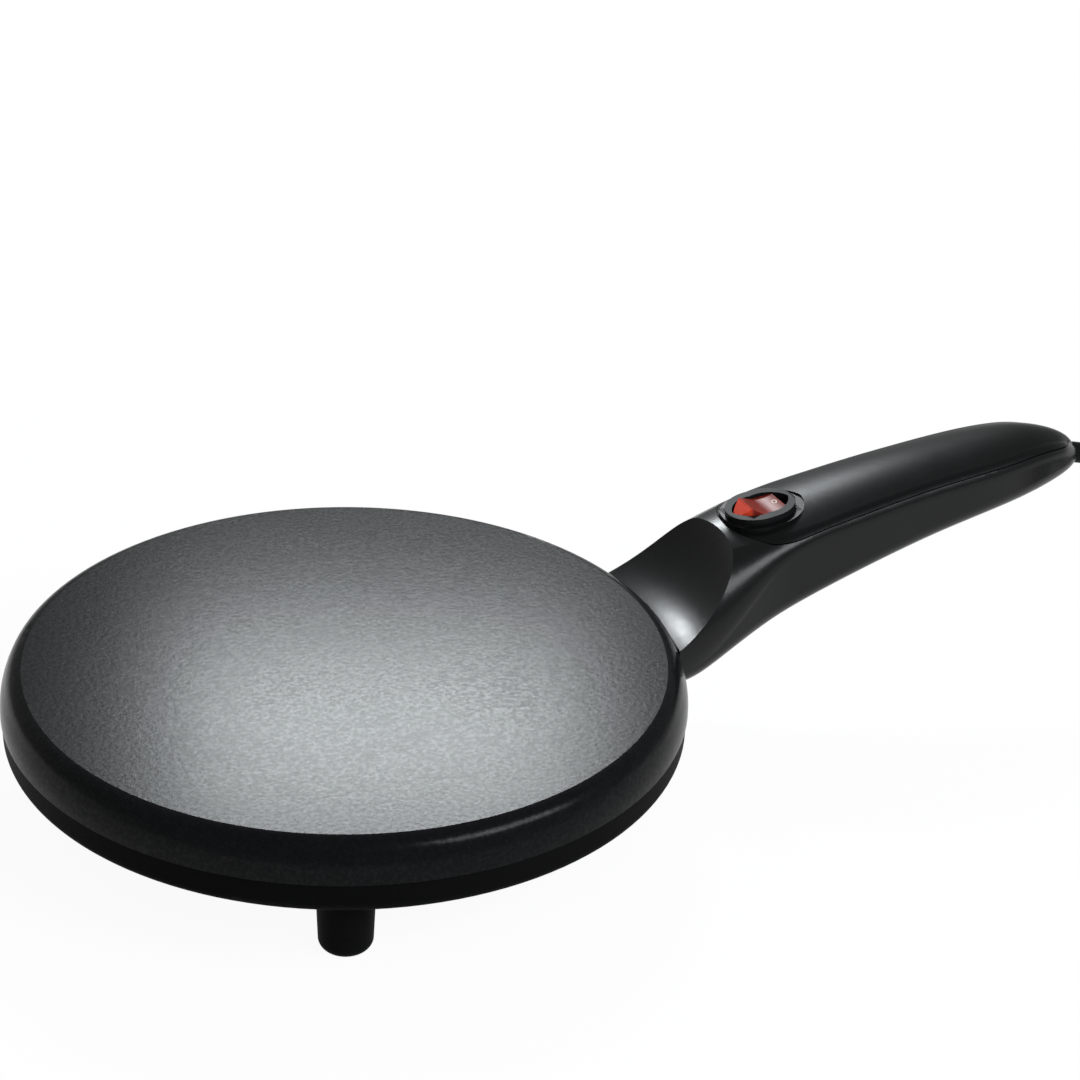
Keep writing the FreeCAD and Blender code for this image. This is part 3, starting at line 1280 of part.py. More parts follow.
tube("wire_cord_to_fuse", mm.wire_radius, [
    (tail_face, -1.3, tail_level),
    (tail_face - 4.0, -4.2, tail_level - 0.4),
    *[(reach, -6.6, wire_level(reach)) for reach in lead_reaches],
    (mm.plate_radius + 36.0, -6.9, wire_level(mm.plate_radius + 36.0)),
    (neck_reach, -8.0, wire_level(neck_reach)),
    (mm.plate_radius + 2.0, -8.5, floor_level + 2.1),
    (mm.plate_radius - 42.0, -8.6, floor_level + 2.2),
    (20.0, -12.0, floor_level + 2.4),
    (-8.0, -19.5, floor_level + 3.0),
    (-16.4, -16.0, floor_level + 7.0),
    (-16.5, -14.9, float(fuse_height)),
])
tube("wire_cord_to_switch", mm.wire_radius, [
    (tail_face, 1.3, tail_level),
    (tail_face - 4.0, 4.2, tail_level - 0.4),
    *[(reach, 6.6, wire_level(reach)) for reach in lead_reaches[:3]],
    (switch_place + 12.0, 2.6, wire_level(switch_place + 12.0) + 0.4),
    on_switch(mm.terminal_pitch + 0.4, 0.4, -tab_depth - 3.6),
    on_switch(mm.terminal_pitch, 0.0, -tab_depth - 0.3),
])
pin_end = float(pin_reach + dim.pin_length)
tube("wire_fuse_to_element", mm.wire_radius, [
    (-16.5, 14.9, float(fuse_height)),
    (-16.4, 16.0, floor_level + 7.0),
    (-8.0, 21.0, floor_level + 3.0),
    (20.0, 23.0, floor_level + 2.4),
    (mm.plate_radius - 42.0, 21.0, floor_level + 2.6),
    (mm.plate_radius - 22.0, 15.0, floor_level + 4.5),
    (pin_end - 2.0, leg_side + 0.5, floor_level + 5.6),
    (pin_end - 1.6, leg_side, element_height - mm.pin_radius - 0.1),
])
tube("wire_thermostat_to_element", mm.wire_radius, [
    (-14.2, 0.0, float(tab_height) + 0.4),
    (-20.0, -0.6, float(tab_height)),
    (-25.5, -8.0, floor_level + 2.6),
    (-22.0, -22.0, floor_level + 2.2),
    (-6.0, -27.0, floor_level + 2.2),
    (20.0, -24.0, floor_level + 2.4),
    (mm.plate_radius - 42.0, -21.0, floor_level + 2.6),
    (mm.plate_radius - 22.0, -15.0, floor_level + 4.5),
    (pin_end - 2.0, -leg_side - 0.5, floor_level + 5.6),
    (pin_end - 1.6, -leg_side, element_height - mm.pin_radius - 0.1),
])

# Mains cord: out of the relief, down to the table and into the put-away coil
cord_out, cord_high = on_relief_axis(dim.relief_outer_length + 0.1)
cord_out = float(cord_out)
cord_high = float(cord_high)
cord_low = mm.cord_radius
coil_reach = cord_out + 112.0
COIL_LIFT = 0.3
cord_points = [
    (cord_out, 0.0, cord_high),
    (cord_out + 19.0, 0.0, cord_high - 5.6),
    (cord_out + 37.0, 0.4, cord_high - 19.0),
    (cord_out + 53.0, 0.8, cord_low + 9.5),
    (cord_out + 71.0, 0.6, cord_low + 0.8),
    (cord_out + 92.0, 0.0, cord_low + 0.3),
]
tube("power_cord", mm.cord_radius, cord_points)
coil_half = dim.cord_radius * 2
coil_top = dim.cord_radius * 4 + COIL_LIFT
coil_ring = turned("coil_ring", [
    (dim.coil_radius - coil_half, COIL_LIFT),
    (dim.coil_radius + coil_half, COIL_LIFT),
    (dim.coil_radius + coil_half, coil_top - dim.cord_radius),
    (dim.coil_radius + dim.cord_radius, coil_top),
    (dim.coil_radius - dim.cord_radius, coil_top),
    (dim.coil_radius - coil_half, coil_top - dim.cord_radius),
], coil_reach, -dim.coil_radius, 0.0)
keep(coil_ring, "cord_coil")

# Mains plug with two flat blades, lying beside the coil
plug_side = dim.coil_radius * -2.0
plug_axis = dim.plug_height * 0.5
boot_reach = coil_reach - 22.0
boot = doc.addObject("Part::Cone", "plug_boot")
bind(boot, Radius1=mm.cord_radius * 1.9, Radius2=mm.cord_radius * 1.15, Height=dim.plug_boot_length)
place(boot, boot_reach - dim.plug_boot_length, plug_side, plug_axis, ALONG)
plug_middle = boot_reach - dim.plug_boot_length - dim.plug_length * 0.5
plug_body = block("plug_body", dim.plug_length, dim.plug_width, dim.plug_height, plug_middle, plug_side, 0.0)
keep(joined("mains_plug", plug_body, boot))
blades = []
blade_reach = plug_middle - dim.plug_length * 0.5 - dim.blade_length * 0.5
for number, sign in enumerate((0.5, -0.5)):
    blades.append(block(f"plug_blade{number}", dim.blade_length, dim.blade_thickness, dim.blade_height,
                        blade_reach, plug_side + dim.blade_pitch * sign, plug_axis - dim.blade_height * 0.5))
keep(group("plug_blades", *blades))

doc.recompute()
for item in doc.Objects:
    if "Invalid" in item.State or "Error" in item.State:
        raise RuntimeError(f"{item.Name} could not be made")

os.makedirs("parts", exist_ok=True)
for node in nodes:
    shape = node.Shape
    if shape.isNull() or not shape.isValid() or not shape.Solids:
        raise RuntimeError(f"{node.Label} has no valid solid")
    shape.exportStep(f"parts/{node.Label}.step")
print(len(nodes), "nodes")
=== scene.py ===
import math

import bpy
from mathutils import Matrix, Vector


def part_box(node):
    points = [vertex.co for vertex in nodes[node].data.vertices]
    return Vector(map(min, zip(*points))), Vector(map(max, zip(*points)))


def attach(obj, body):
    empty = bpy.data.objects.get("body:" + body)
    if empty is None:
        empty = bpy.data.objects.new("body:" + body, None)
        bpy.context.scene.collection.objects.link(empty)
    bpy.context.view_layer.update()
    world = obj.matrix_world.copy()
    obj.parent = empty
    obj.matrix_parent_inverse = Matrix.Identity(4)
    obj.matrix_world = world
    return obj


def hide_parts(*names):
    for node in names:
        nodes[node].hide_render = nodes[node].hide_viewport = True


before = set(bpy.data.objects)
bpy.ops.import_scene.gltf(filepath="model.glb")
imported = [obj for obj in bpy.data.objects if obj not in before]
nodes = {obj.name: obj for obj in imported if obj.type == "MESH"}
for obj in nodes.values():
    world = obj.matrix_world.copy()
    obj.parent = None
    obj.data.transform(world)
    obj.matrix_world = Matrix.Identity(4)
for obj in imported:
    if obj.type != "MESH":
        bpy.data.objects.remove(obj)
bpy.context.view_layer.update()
bpy.ops.object.select_all(action="DESELECT")

# Camera: a long lens that looks down on the plate from the front, with the handle leading away right.
# It is placed from the point where the plate's axis meets the joint between plate and base.
plate_low, plate_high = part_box("cooking_plate")
plate_axis = (plate_low.x + plate_high.x) / 2
plate_seam = Vector((plate_axis, 0, plate_low.z))
handle_bearing = math.radians(24.0)
camera_distance = 0.8986
camera_angles = (30.855, 3.687, 2.915, -0.032)
down, right, up, level = (math.radians(angle) for angle in camera_angles)
towards = Matrix.Rotation(-handle_bearing, 4, "Z") @ Matrix.Rotation(math.pi / 2 - down, 4, "X")
camera_data = bpy.data.cameras.new("photo_camera")
camera_data.lens = 100.0
camera_data.sensor_width = 36.0
camera = bpy.data.objects.new("photo_camera", camera_data)
bpy.context.scene.collection.objects.link(camera)
aim = Matrix.Rotation(-right, 4, "Y") @ Matrix.Rotation(up, 4, "X") @ Matrix.Rotation(level, 4, "Z")
stand = Matrix.Translation(plate_seam + towards @ Vector((0, 0, camera_distance)))
camera.matrix_world = stand @ towards @ aim
bpy.context.scene.camera = camera
bpy.context.scene.view_settings.view_transform = "Standard"


class Value:
    """A socket in a material. Sums and products of it add Math nodes."""

    def __init__(self, finish, socket):
        self.finish = finish
        self.socket = socket

    def _math(self, operation, first, second):
        return self.finish.node("ShaderNodeMath", {"operation": operation}, {0: first, 1: second})

    def __add__(self, other):
        return self._math("ADD", self, other)

    def __radd__(self, other):
        return self._math("ADD", other, self)

    def __sub__(self, other):
        return self._math("SUBTRACT", self, other)

    def __rsub__(self, other):
        return self._math("SUBTRACT", other, self)

    def __mul__(self, other):
        return self._math("MULTIPLY", self, other)

    __rmul__ = __mul__


class Finish:
    """A procedural material: one main shader, and nodes that are added one by one."""

    def __init__(self, name, **sockets):
        self.material = bpy.data.materials.new(name)
        self.material.use_nodes = True
        self.tree = self.material.node_tree
        self.shader = self.tree.nodes["Principled BSDF"]
        self.feed(**sockets)

    def feed(self, **sockets):
        """Set or link sockets of the main shader, named with _ for a space."""
        for name, value in sockets.items():
            self.connect(self.shader.inputs[name.replace("_", " ")], value)
        return self

    def connect(self, socket, value):
        if isinstance(value, Value):
            self.tree.links.new(value.socket, socket)
        elif isinstance(value, tuple) and len(value) == 3 and socket.type == "RGBA":
            socket.default_value = (*value, 1.0)
        else:
            socket.default_value = value

    def node(self, kind, settings, inputs, output=0):
        """Any node: its type, its settings, its sockets' values or links, and which output is wanted."""
        node = self.tree.nodes.new(kind)
        for name, value in settings.items():
            if name == "stops":
                ramp = node.color_ramp
                while len(ramp.elements) < len(value):
                    ramp.elements.new(1.0)
                for element, (place, level) in zip(ramp.elements, value):
                    element.position = place
                    element.color = (level, level, level, 1.0)
                continue
            setattr(node, name, value)
        for name, value in inputs.items():
            self.connect(node.inputs[name], value)
        return Value(self, node.outputs[output])

    def place(self):
        """Where a point lies on the piece, in metres."""
        return self.node("ShaderNodeTexCoord", {}, {}, "Object")

    def noise(self, size, detail=2.0, roughness=0.5):
        """Soft patches about that many metres across."""
        sockets = {"Vector": self.place(), "Scale": 1.0 / size, "Detail": detail, "Roughness": roughness}
        return self.node("ShaderNodeTexNoise", {}, sockets)

    def ramp(self, value, *stops):
        return self.node("ShaderNodeValToRGB", {"stops": stops}, {0: value})

    def mix(self, share, first, second):
        sockets = {"Factor": share, 6: first, 7: second}
        return self.node("ShaderNodeMix", {"data_type": "RGBA"}, sockets, 2)

    def bump(self, height, depth):
        """A relief of that many metres from a height of 0 to 1."""
        return self.node("ShaderNodeBump", {}, {"Height": height, "Distance": depth, "Strength": 1.0})


def wear(finish, *names):
    """Give CAD nodes a finish."""
    for name in names:
        mesh = nodes[name].data
        mesh.materials.clear()
        mesh.materials.append(finish.material)


# Mains cord: a round black lead of soft vinyl, which leaves the handle's tip and droops to the table.
# The length beyond the picture is put away in a neat coil, two turns on two.
cord_diameter = 0.0058
cord_lift = 0.0032
coil_low, coil_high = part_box("cord_coil")
coil_centre = (coil_low + coil_high) / 2
coil_radius = (coil_high.x - coil_low.x) / 2 - cord_diameter
coil_turns = 3.5
cord_out = Vector((0.21032, 0.0, 0.05088))
cord_route = [
    cord_out,
    cord_out + Vector((0.019, 0.0, -0.0056)),
    cord_out + Vector((0.037, 0.0004, -0.019)),
    Vector((cord_out.x + 0.053, 0.0008, 0.0124)),
    Vector((cord_out.x + 0.071, 0.0006, 0.0037)),
    Vector((cord_out.x + 0.092, 0.0, cord_lift)),
]
half_cord = cord_diameter / 2
coil_lanes = [(half_cord, 0.0), (-half_cord, 0.0), (-half_cord, cord_diameter), (half_cord, cord_diameter)]
points_per_turn = 16
lane_change = 4


def coil_place(step):
    """A point of the coil: clockwise from its far side, one lane per turn with a short change at the end."""
    lane, within = divmod(step, points_per_turn)
    following = min(lane + 1, len(coil_lanes) - 1)
    share = max(0.0, (within - points_per_turn + lane_change) / lane_change)
    outward = coil_lanes[lane][0] * (1 - share) + coil_lanes[following][0] * share
    lift = coil_lanes[lane][1] * (1 - share) + coil_lanes[following][1] * share
    angle = 2 * math.pi * step / points_per_turn
    around = Vector((math.sin(angle), math.cos(angle), 0)) * (coil_radius + outward)
    return Vector((coil_centre.x, coil_centre.y, cord_lift + lift)) + around


coil_steps = int(points_per_turn * coil_turns)
plug_low, plug_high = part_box("mains_plug")
boot_end = Vector((plug_high.x, (plug_low.y + plug_high.y) / 2, (plug_low.z + plug_high.z) / 2))
cord_line = cord_route + [coil_place(step) for step in range(1, coil_steps)]
cord_line += [boot_end + Vector((0.008, -0.0015, 0.0003)), boot_end - Vector((0.002, 0, 0))]
cord_curve = bpy.data.curves.new("mains_cord", "CURVE")
cord_curve.dimensions = "3D"
cord_curve.bevel_depth = half_cord
cord_curve.bevel_resolution = 5
cord_curve.resolution_u = 8
cord_curve.use_fill_caps = True
spline = cord_curve.splines.new("NURBS")
spline.points.add(len(cord_line) - 1)
for point, spot in zip(spline.points, cord_line):
    point.co = (*spot, 1.0)
spline.order_u = 3
spline.use_endpoint_u = True
mains_cord = bpy.data.objects.new("mains_cord", cord_curve)
bpy.context.scene.collection.objects.link(mains_cord)

cord_vinyl = Finish("cord_vinyl", Specular_IOR_Level=0.03)
vinyl_grain = cord_vinyl.noise(0.0006, 3.0)
cord_vinyl.feed(
    Base_Color=cord_vinyl.mix(cord_vinyl.noise(0.015), (0.004, 0.004, 0.0045), (0.008, 0.008, 0.0085)),
    Roughness=0.36 + 0.14 * vinyl_grain, Normal=cord_vinyl.bump(vinyl_grain, 0.00002))
cord_curve.materials.append(cord_vinyl.material)
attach(mains_cord, "appliance")
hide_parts("power_cord", "cord_coil")
wear(cord_vinyl, "cord_tail", "power_cord", "cord_coil")


def drawn_out(name, sections):
    """Extrude the selected outline along Z: for each step how far, and its width and depth
    against the last step's."""
    piece = bpy.context.object
    piece.name = name
    piece.data.name = name
    reach = 0.0
    for step, wide, deep in sections:
        reach += step
        bpy.ops.mesh.extrude_region_move(TRANSFORM_OT_translate={"value": (0, 0, step)})
        bpy.ops.transform.resize(value=(wide, deep, 1.0), center_override=(0, 0, reach))
    bpy.ops.mesh.select_all(action="SELECT")
    bpy.ops.mesh.remove_doubles(threshold=0.000001)
    bpy.ops.mesh.normals_make_consistent(inside=False)
    bpy.ops.object.mode_set(mode="OBJECT")
    return piece


def fitted(piece, finish, body, smooth):
    """Fix a modelled piece to its body: its place goes into its mesh, and it gets its finish."""
    bpy.ops.object.select_all(action="DESELECT")
    bpy.context.view_layer.objects.active = piece
    piece.select_set(True)
    bpy.ops.object.transform_apply(location=True, rotation=True, scale=True)
    bpy.ops.object.shade_smooth_by_angle(angle=math.radians(smooth))
    piece.select_set(False)
    piece.data.materials.clear()
    piece.data.materials.append(finish.material)
    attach(piece, body)
    return piece


# Strain relief: a tapered vinyl sleeve moulded round the cord, with ring grooves that let it bend evenly.
# A flange on its root is trapped between the halves of the handle, and it leans down with the cord.
droop = math.radians(16.0)
relief_length = 0.033
relief_root = 0.009
flange_radius = 0.004
flange_thick = 0.002
relief_root_radius = 0.00345
relief_end_radius = 0.0031
first_ring = 0.0165
ring_count = 8
ring_pitch = 0.0029
ring_groove = 0.0005
relief_end = relief_root + relief_length
relief_outline = [(0.0, flange_radius), (flange_thick, flange_radius), (flange_thick, relief_root_radius),
                  (first_ring, relief_root_radius)]
for ring in range(ring_count):
    start = first_ring + ring * ring_pitch
    radius = relief_root_radius - (relief_root_radius - relief_end_radius) * ring / ring_count
    relief_outline += [(start, radius), (start + 0.0003, radius - ring_groove),
                       (start + 0.0011, radius - ring_groove), (start + 0.0014, radius)]
relief_outline += [(relief_end - 0.0005, relief_end_radius), (relief_end, relief_end_radius - 0.0004)]
bpy.ops.mesh.primitive_circle_add(vertices=48, radius=relief_outline[0][1], fill_type="NGON")
bpy.ops.object.mode_set(mode="EDIT")
bpy.ops.mesh.select_all(action="SELECT")
relief_steps = []
for (before, last), (after, radius) in zip(relief_outline, relief_outline[1:]):
    relief_steps.append((after - before, radius / last, radius / last))
relief = drawn_out("cord_sleeve", relief_steps)
relief.rotation_euler = (0, math.pi / 2 + droop, 0)
relief_lean = Vector((math.cos(droop), 0, -math.sin(droop)))
relief.location = cord_out - relief_lean * (relief_end + 0.0001)
fitted(relief, cord_vinyl, "appliance", 40)
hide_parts("strain_relief")
wear(cord_vinyl, "strain_relief")

# Mains plug: a moulded vinyl body with finger ribs on its sides, and a ribbed boot round the cord.
# It is moulded onto the lead and the two brass blades, and lies flat beside the coil.
plug_width = plug_high.y - plug_low.y
plug_height = plug_high.z - plug_low.z
rib = (0.0012, 0.93, 1.0), (0.0008, 1.0, 1.0), (0.0012, 1 / 0.93, 1.0), (0.0012, 1.0, 1.0)
boot_ring = (0.0005, 0.9, 0.9), (0.0009, 1.0, 1.0), (0.0005, 1 / 0.9, 1 / 0.9), (0.0016, 0.975, 0.975)
face_height = 0.9
face_width = 0.92
plug_corner = 0.004
bpy.ops.object.select_all(action="DESELECT")
bpy.ops.mesh.primitive_plane_add(size=1.0)
bpy.ops.object.mode_set(mode="EDIT")
bpy.ops.mesh.select_all(action="SELECT")
bpy.ops.transform.resize(value=(plug_height * face_height, plug_width * face_width, 1.0))
bpy.ops.mesh.bevel(affect="VERTICES", offset=plug_corner, segments=6)
plug = drawn_out("plug_moulding", [(0.0011, 1 / face_height, 1 / face_width), (0.0075, 1.0, 1.0)]
                 + [(step, deep, wide) for step, wide, deep in rib * 4]
                 + [(0.003, 0.97, 0.93), (0.0015, 0.85, 0.72), (0.0003, 0.76, 0.58), (0.0012, 1.0, 0.99)]
                 + list(boot_ring * 4) + [(0.0016, 0.9, 0.95), (0.0004, 0.9, 0.9)])
plug.rotation_euler = (0, math.pi / 2, 0)
plug.location = (plug_low.x, boot_end.y, boot_end.z)
fitted(plug, cord_vinyl, "appliance", 40)
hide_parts("mains_plug")
wear(cord_vinyl, "mains_plug")

# Cord tie: a soft vinyl band closed round the four strands of the coil, as the lead is sold.
tie_wide = 0.006
tie_thick = 0.00028
tie_slack = 0.0006
tie_corner = 0.0034
bpy.ops.mesh.primitive_plane_add(size=1.0)
bpy.ops.object.mode_set(mode="EDIT")
bpy.ops.mesh.select_all(action="SELECT")
bpy.ops.transform.resize(value=(coil_high.z + tie_thick, 2 * cord_diameter + tie_slack, 1.0))
bpy.ops.mesh.bevel(affect="VERTICES", offset=tie_corner, segments=6)
bpy.ops.mesh.delete(type="ONLY_FACE")
bpy.ops.mesh.select_all(action="SELECT")
bpy.ops.mesh.extrude_region_move(TRANSFORM_OT_translate={"value": (0, 0, tie_wide)})
bpy.ops.mesh.select_all(action="SELECT")
bpy.ops.mesh.normals_make_consistent(inside=False)
bpy.ops.object.mode_set(mode="OBJECT")
tie = bpy.context.object
tie.name = "coil_tie"
tie_wall = tie.modifiers.new("wall", "SOLIDIFY")
tie_wall.thickness = tie_thick
bpy.ops.object.modifier_apply(modifier="wall")
tie.rotation_euler = (0, math.pi / 2, 0)
tie.location = (coil_centre.x - tie_wide / 2, coil_high.y - cord_diameter, (coil_high.z + tie_thick) / 2)
fitted(tie, cord_vinyl, "appliance", 50)

# Cooking plate: an aluminium casting with a dark grey non-stick coating, sprayed on and baked.
# The coat has a fine grain that sparkles under the lamp, and it wraps over the rim to the seam.
plate_coat = Finish("nonstick_coating", Specular_IOR_Level=0.06, Coat_Roughness=0.24)
coat_grain = plate_coat.noise(0.0014, 3.0, 0.6)
coat_mottle = plate_coat.noise(0.02, 3.0)
coat_fleck = plate_coat.ramp(plate_coat.noise(0.0005, 1.0), (0.62, 0.0), (0.8, 1.0))
coat_sparkle = plate_coat.ramp(plate_coat.noise(0.0013, 2.0, 0.7), (0.42, 0.0), (0.66, 1.0))
coat_grey = plate_coat.mix(coat_mottle, (0.0028, 0.003, 0.0034), (0.0042, 0.0045, 0.005))
plate_coat.feed(
    Base_Color=plate_coat.mix(coat_fleck, coat_grey, (0.008, 0.0084, 0.0095)),
    Roughness=0.2 + 0.02 * coat_mottle + 0.03 * coat_grain,
    Coat_Weight=0.1 * coat_sparkle,
    Normal=plate_coat.bump(coat_grain, 0.00003))
wear(plate_coat, "cooking_plate")

# Base: one moulded shell of black heat-resistant plastic, spark-textured so that it hardly shines.
base_plastic = Finish("base_plastic", Specular_IOR_Level=0.015)
spark_texture = base_plastic.noise(0.0007, 3.0, 0.6)
base_plastic.feed(
    Base_Color=base_plastic.mix(base_plastic.noise(0.03), (0.0026, 0.0026, 0.0028), (0.004, 0.004, 0.0043)),
    Roughness=0.42 + 0.2 * spark_texture, Normal=base_plastic.bump(spark_texture, 0.00004))
wear(base_plastic, "base_shell")

# Feet: three turned cups of dull black plastic, plugged into sockets under the base and the neck.
foot_plastic = Finish("foot_plastic", Specular_IOR_Level=0.02)
foot_grain = foot_plastic.noise(0.001, 4.0, 0.6)
foot_plastic.feed(
    Base_Color=foot_plastic.mix(foot_grain, (0.0025, 0.0025, 0.0028), (0.005, 0.005, 0.0053)),
    Roughness=0.5 + 0.15 * foot_grain, Normal=foot_plastic.bump(foot_grain, 0.00003))
wear(foot_plastic, "foot_front", "foot_left", "foot_right")

# Handle: two mouldings of the same black plastic as the base, here with a smooth satin face.
# The upper one carries the guard, the lower one is screwed to it from below.
handle_plastic = Finish("handle_plastic", Specular_IOR_Level=0.2)
handle_peel = handle_plastic.noise(0.004, 2.0)
handle_grain = handle_plastic.noise(0.0005, 2.0)
handle_black = handle_plastic.mix(handle_plastic.noise(0.03), (0.0028, 0.003, 0.0033),
                                  (0.0045, 0.0047, 0.005))
handle_plastic.feed(
    Base_Color=handle_black,
    Roughness=0.2 + 0.05 * handle_peel + 0.06 * handle_grain,
    Normal=handle_plastic.bump(0.000014 * handle_peel + 0.000006 * handle_grain, 1.0))
wear(handle_plastic, "handle_body", "handle_bottom_cover")

# Top cover: a thin moulding in high-gloss black, let into the handle and bordered by a fine groove.
# The place of the maker's sign is left bare.
gloss_black = Finish("gloss_black", Specular_IOR_Level=0.1)
gloss_peel = gloss_black.noise(0.006, 2.0)
gloss_black.feed(
    Base_Color=gloss_black.mix(gloss_black.noise(0.02), (0.0026, 0.0028, 0.003), (0.004, 0.0042, 0.0045)),
    Roughness=0.3 + 0.06 * gloss_black.noise(0.008, 4.0), Normal=gloss_black.bump(gloss_peel, 0.00002))
wear(gloss_black, "top_cover")

# Switch: a satin black housing that snaps into the seat behind the guard, with its oval bezel on top.
switch_black = Finish("switch_black", Specular_IOR_Level=0.07)
switch_grain = switch_black.noise(0.0004, 3.0)
switch_black.feed(
    Base_Color=switch_black.mix(switch_black.noise(0.01), (0.006, 0.006, 0.0065), (0.009, 0.009, 0.0095)),
    Roughness=0.36 + 0.1 * switch_grain, Normal=switch_black.bump(switch_grain, 0.00001))
wear(switch_black, "switch_housing")

# Rocker: a hollow cap of clear red plastic that tilts on its pins. Its raised end wall, on the guard's
# side of the ridge, is painted a brighter red: painted light, where the lamps fall on that wall.
rocker_red = Finish("rocker_red", IOR=1.49, Subsurface_Weight=0.35, Subsurface_Scale=0.002,
                    Subsurface_Radius=(1.0, 0.15, 0.1), Specular_IOR_Level=0.16)
rocker_peel = rocker_red.noise(0.002, 2.0)
rocker_ridge = 0.0568
rocker_reach = rocker_red.node("ShaderNodeSeparateXYZ", {}, {0: rocker_red.place()}, "X")
# Painted light: past the ridge on the guard's side, the end wall gets a brighter red, as if lit by the
# lamps.
painted_light_end_wall = rocker_red.ramp((rocker_ridge - rocker_reach) * (1 / 0.001), (0.0, 0.0), (1.0, 1.0))
cap_red = rocker_red.mix(rocker_red.noise(0.004), (0.13, 0.011, 0.006), (0.19, 0.016, 0.009))
rocker_red.feed(
    Base_Color=rocker_red.mix(painted_light_end_wall, cap_red, (0.62, 0.05, 0.018)),
    Roughness=0.3 + 0.08 * rocker_peel, Normal=rocker_red.bump(rocker_peel, 0.000008))
wear(rocker_red, "switch_rocker")

# Off mark: the usual ring, printed in pale ink on the rocker's half that lies towards the cord.
mark_ink = Finish("mark_ink", Roughness=0.45, Specular_IOR_Level=0.3)
ink_wear = mark_ink.noise(0.0004, 4.0)
mark_ink.feed(Base_Color=mark_ink.mix(ink_wear, (0.62, 0.5, 0.44), (0.75, 0.66, 0.6)),
              Normal=mark_ink.bump(ink_wear, 0.000005))
mark_height = 0.00012
mark_reach = 0.0668
mark_radius = 0.00105
mark_line = 0.0003
above_switch = 0.09
bpy.ops.mesh.primitive_circle_add(vertices=40, radius=mark_radius, fill_type="NGON")
bpy.ops.object.mode_set(mode="EDIT")
bpy.ops.mesh.select_all(action="SELECT")
bpy.ops.transform.resize(value=(0.8, 1.0, 1.0))
bpy.ops.mesh.inset(thickness=mark_line)
bpy.ops.mesh.delete(type="FACE")
bpy.ops.mesh.select_all(action="SELECT")
bpy.ops.mesh.extrude_region_move(TRANSFORM_OT_translate={"value": (0, 0, mark_height)})
bpy.ops.mesh.select_all(action="SELECT")
bpy.ops.mesh.normals_make_consistent(inside=False)
bpy.ops.object.mode_set(mode="OBJECT")
off_mark = bpy.context.object
off_mark.name = "off_mark"
mark_above = Vector((mark_reach, 0, above_switch))
spot, normal = nodes["switch_rocker"].ray_cast(mark_above, Vector((0, 0, -1)))[1:3]
along = Vector((0, 1, 0)).cross(normal)
off_mark.matrix_world = Matrix.Translation(spot) @ Matrix((along, (0, 1, 0), normal)).transposed().to_4x4()
fitted(off_mark, mark_ink, "rocker", 30)

# Neon lamp: a small glass capsule on two leads, in a pocket of the rocker.
lamp_glass = Finish("lamp_glass", Roughness=0.06, IOR=1.5, Transmission_Weight=0.5)
lamp_glass.feed(Base_Color=lamp_glass.mix(lamp_glass.noise(0.001), (0.9, 0.5, 0.25), (0.95, 0.62, 0.4)))
wear(lamp_glass, "neon_lamp")

# Steel parts: screws, straps, brackets, plunger and spring, zinc plated and faintly brushed.
zinc_steel = Finish("zinc_steel", Metallic=1.0)
steel_brush = zinc_steel.noise(0.0004, 4.0, 0.7)
zinc_steel.feed(
    Base_Color=zinc_steel.mix(zinc_steel.noise(0.004, 3.0), (0.5, 0.5, 0.52), (0.64, 0.64, 0.63)),
    Roughness=0.26 + 0.16 * steel_brush, Normal=zinc_steel.bump(steel_brush, 0.00001))
wear(zinc_steel, "base_screws", "neck_screws", "handle_screws", "clamp_screws", "strap_screws",
     "bracket_screws", "fuse_screw", "element_strap_1", "element_strap_2", "element_strap_3",
     "thermostat_bracket", "fuse_clip", "switch_plunger", "switch_spring")

# Heating element: a bent stainless tube packed with magnesia, browned where it has been hot.
element_steel = Finish("element_steel", Metallic=1.0)
heat_tint = element_steel.noise(0.018, 2.0)
tube_grain = element_steel.noise(0.0006, 4.0, 0.6)
element_steel.feed(
    Base_Color=element_steel.mix(heat_tint, (0.26, 0.2, 0.14), (0.4, 0.38, 0.36)),
    Roughness=0.32 + 0.2 * tube_grain, Normal=element_steel.bump(tube_grain, 0.00002))
wear(element_steel, "heating_element", "element_pins", "thermal_fuse")

# Heat shield and thermostat cup: pressed from bright aluminium sheet with a rolled grain.
sheet_aluminium = Finish("sheet_aluminium", Metallic=1.0)
rolled_place = sheet_aluminium.node(
    "ShaderNodeMapping", {}, {"Vector": sheet_aluminium.place(), "Scale": (1, 40, 1)})
rolled_grain = sheet_aluminium.node(
    "ShaderNodeTexNoise", {}, {"Vector": rolled_place, "Scale": 90.0, "Detail": 4.0})
sheet_aluminium.feed(
    Base_Color=sheet_aluminium.mix(rolled_grain, (0.62, 0.62, 0.63), (0.76, 0.76, 0.76)),
    Roughness=0.26 + 0.16 * rolled_grain, Normal=sheet_aluminium.bump(rolled_grain, 0.00001))
wear(sheet_aluminium, "heat_shield", "thermostat_cap")

# Insulators: the thermostat's body and the element's end seals, fired in white ceramic.
fired_ceramic = Finish("fired_ceramic", Specular_IOR_Level=0.35)
ceramic_grain = fired_ceramic.noise(0.0005, 4.0, 0.6)
fired_ceramic.feed(
    Base_Color=fired_ceramic.mix(fired_ceramic.noise(0.003, 3.0), (0.68, 0.65, 0.58), (0.78, 0.76, 0.7)),
    Roughness=0.5 + 0.2 * ceramic_grain, Normal=fired_ceramic.bump(ceramic_grain, 0.00003))
wear(fired_ceramic, "thermostat_body", "element_seal_left", "element_seal_right")

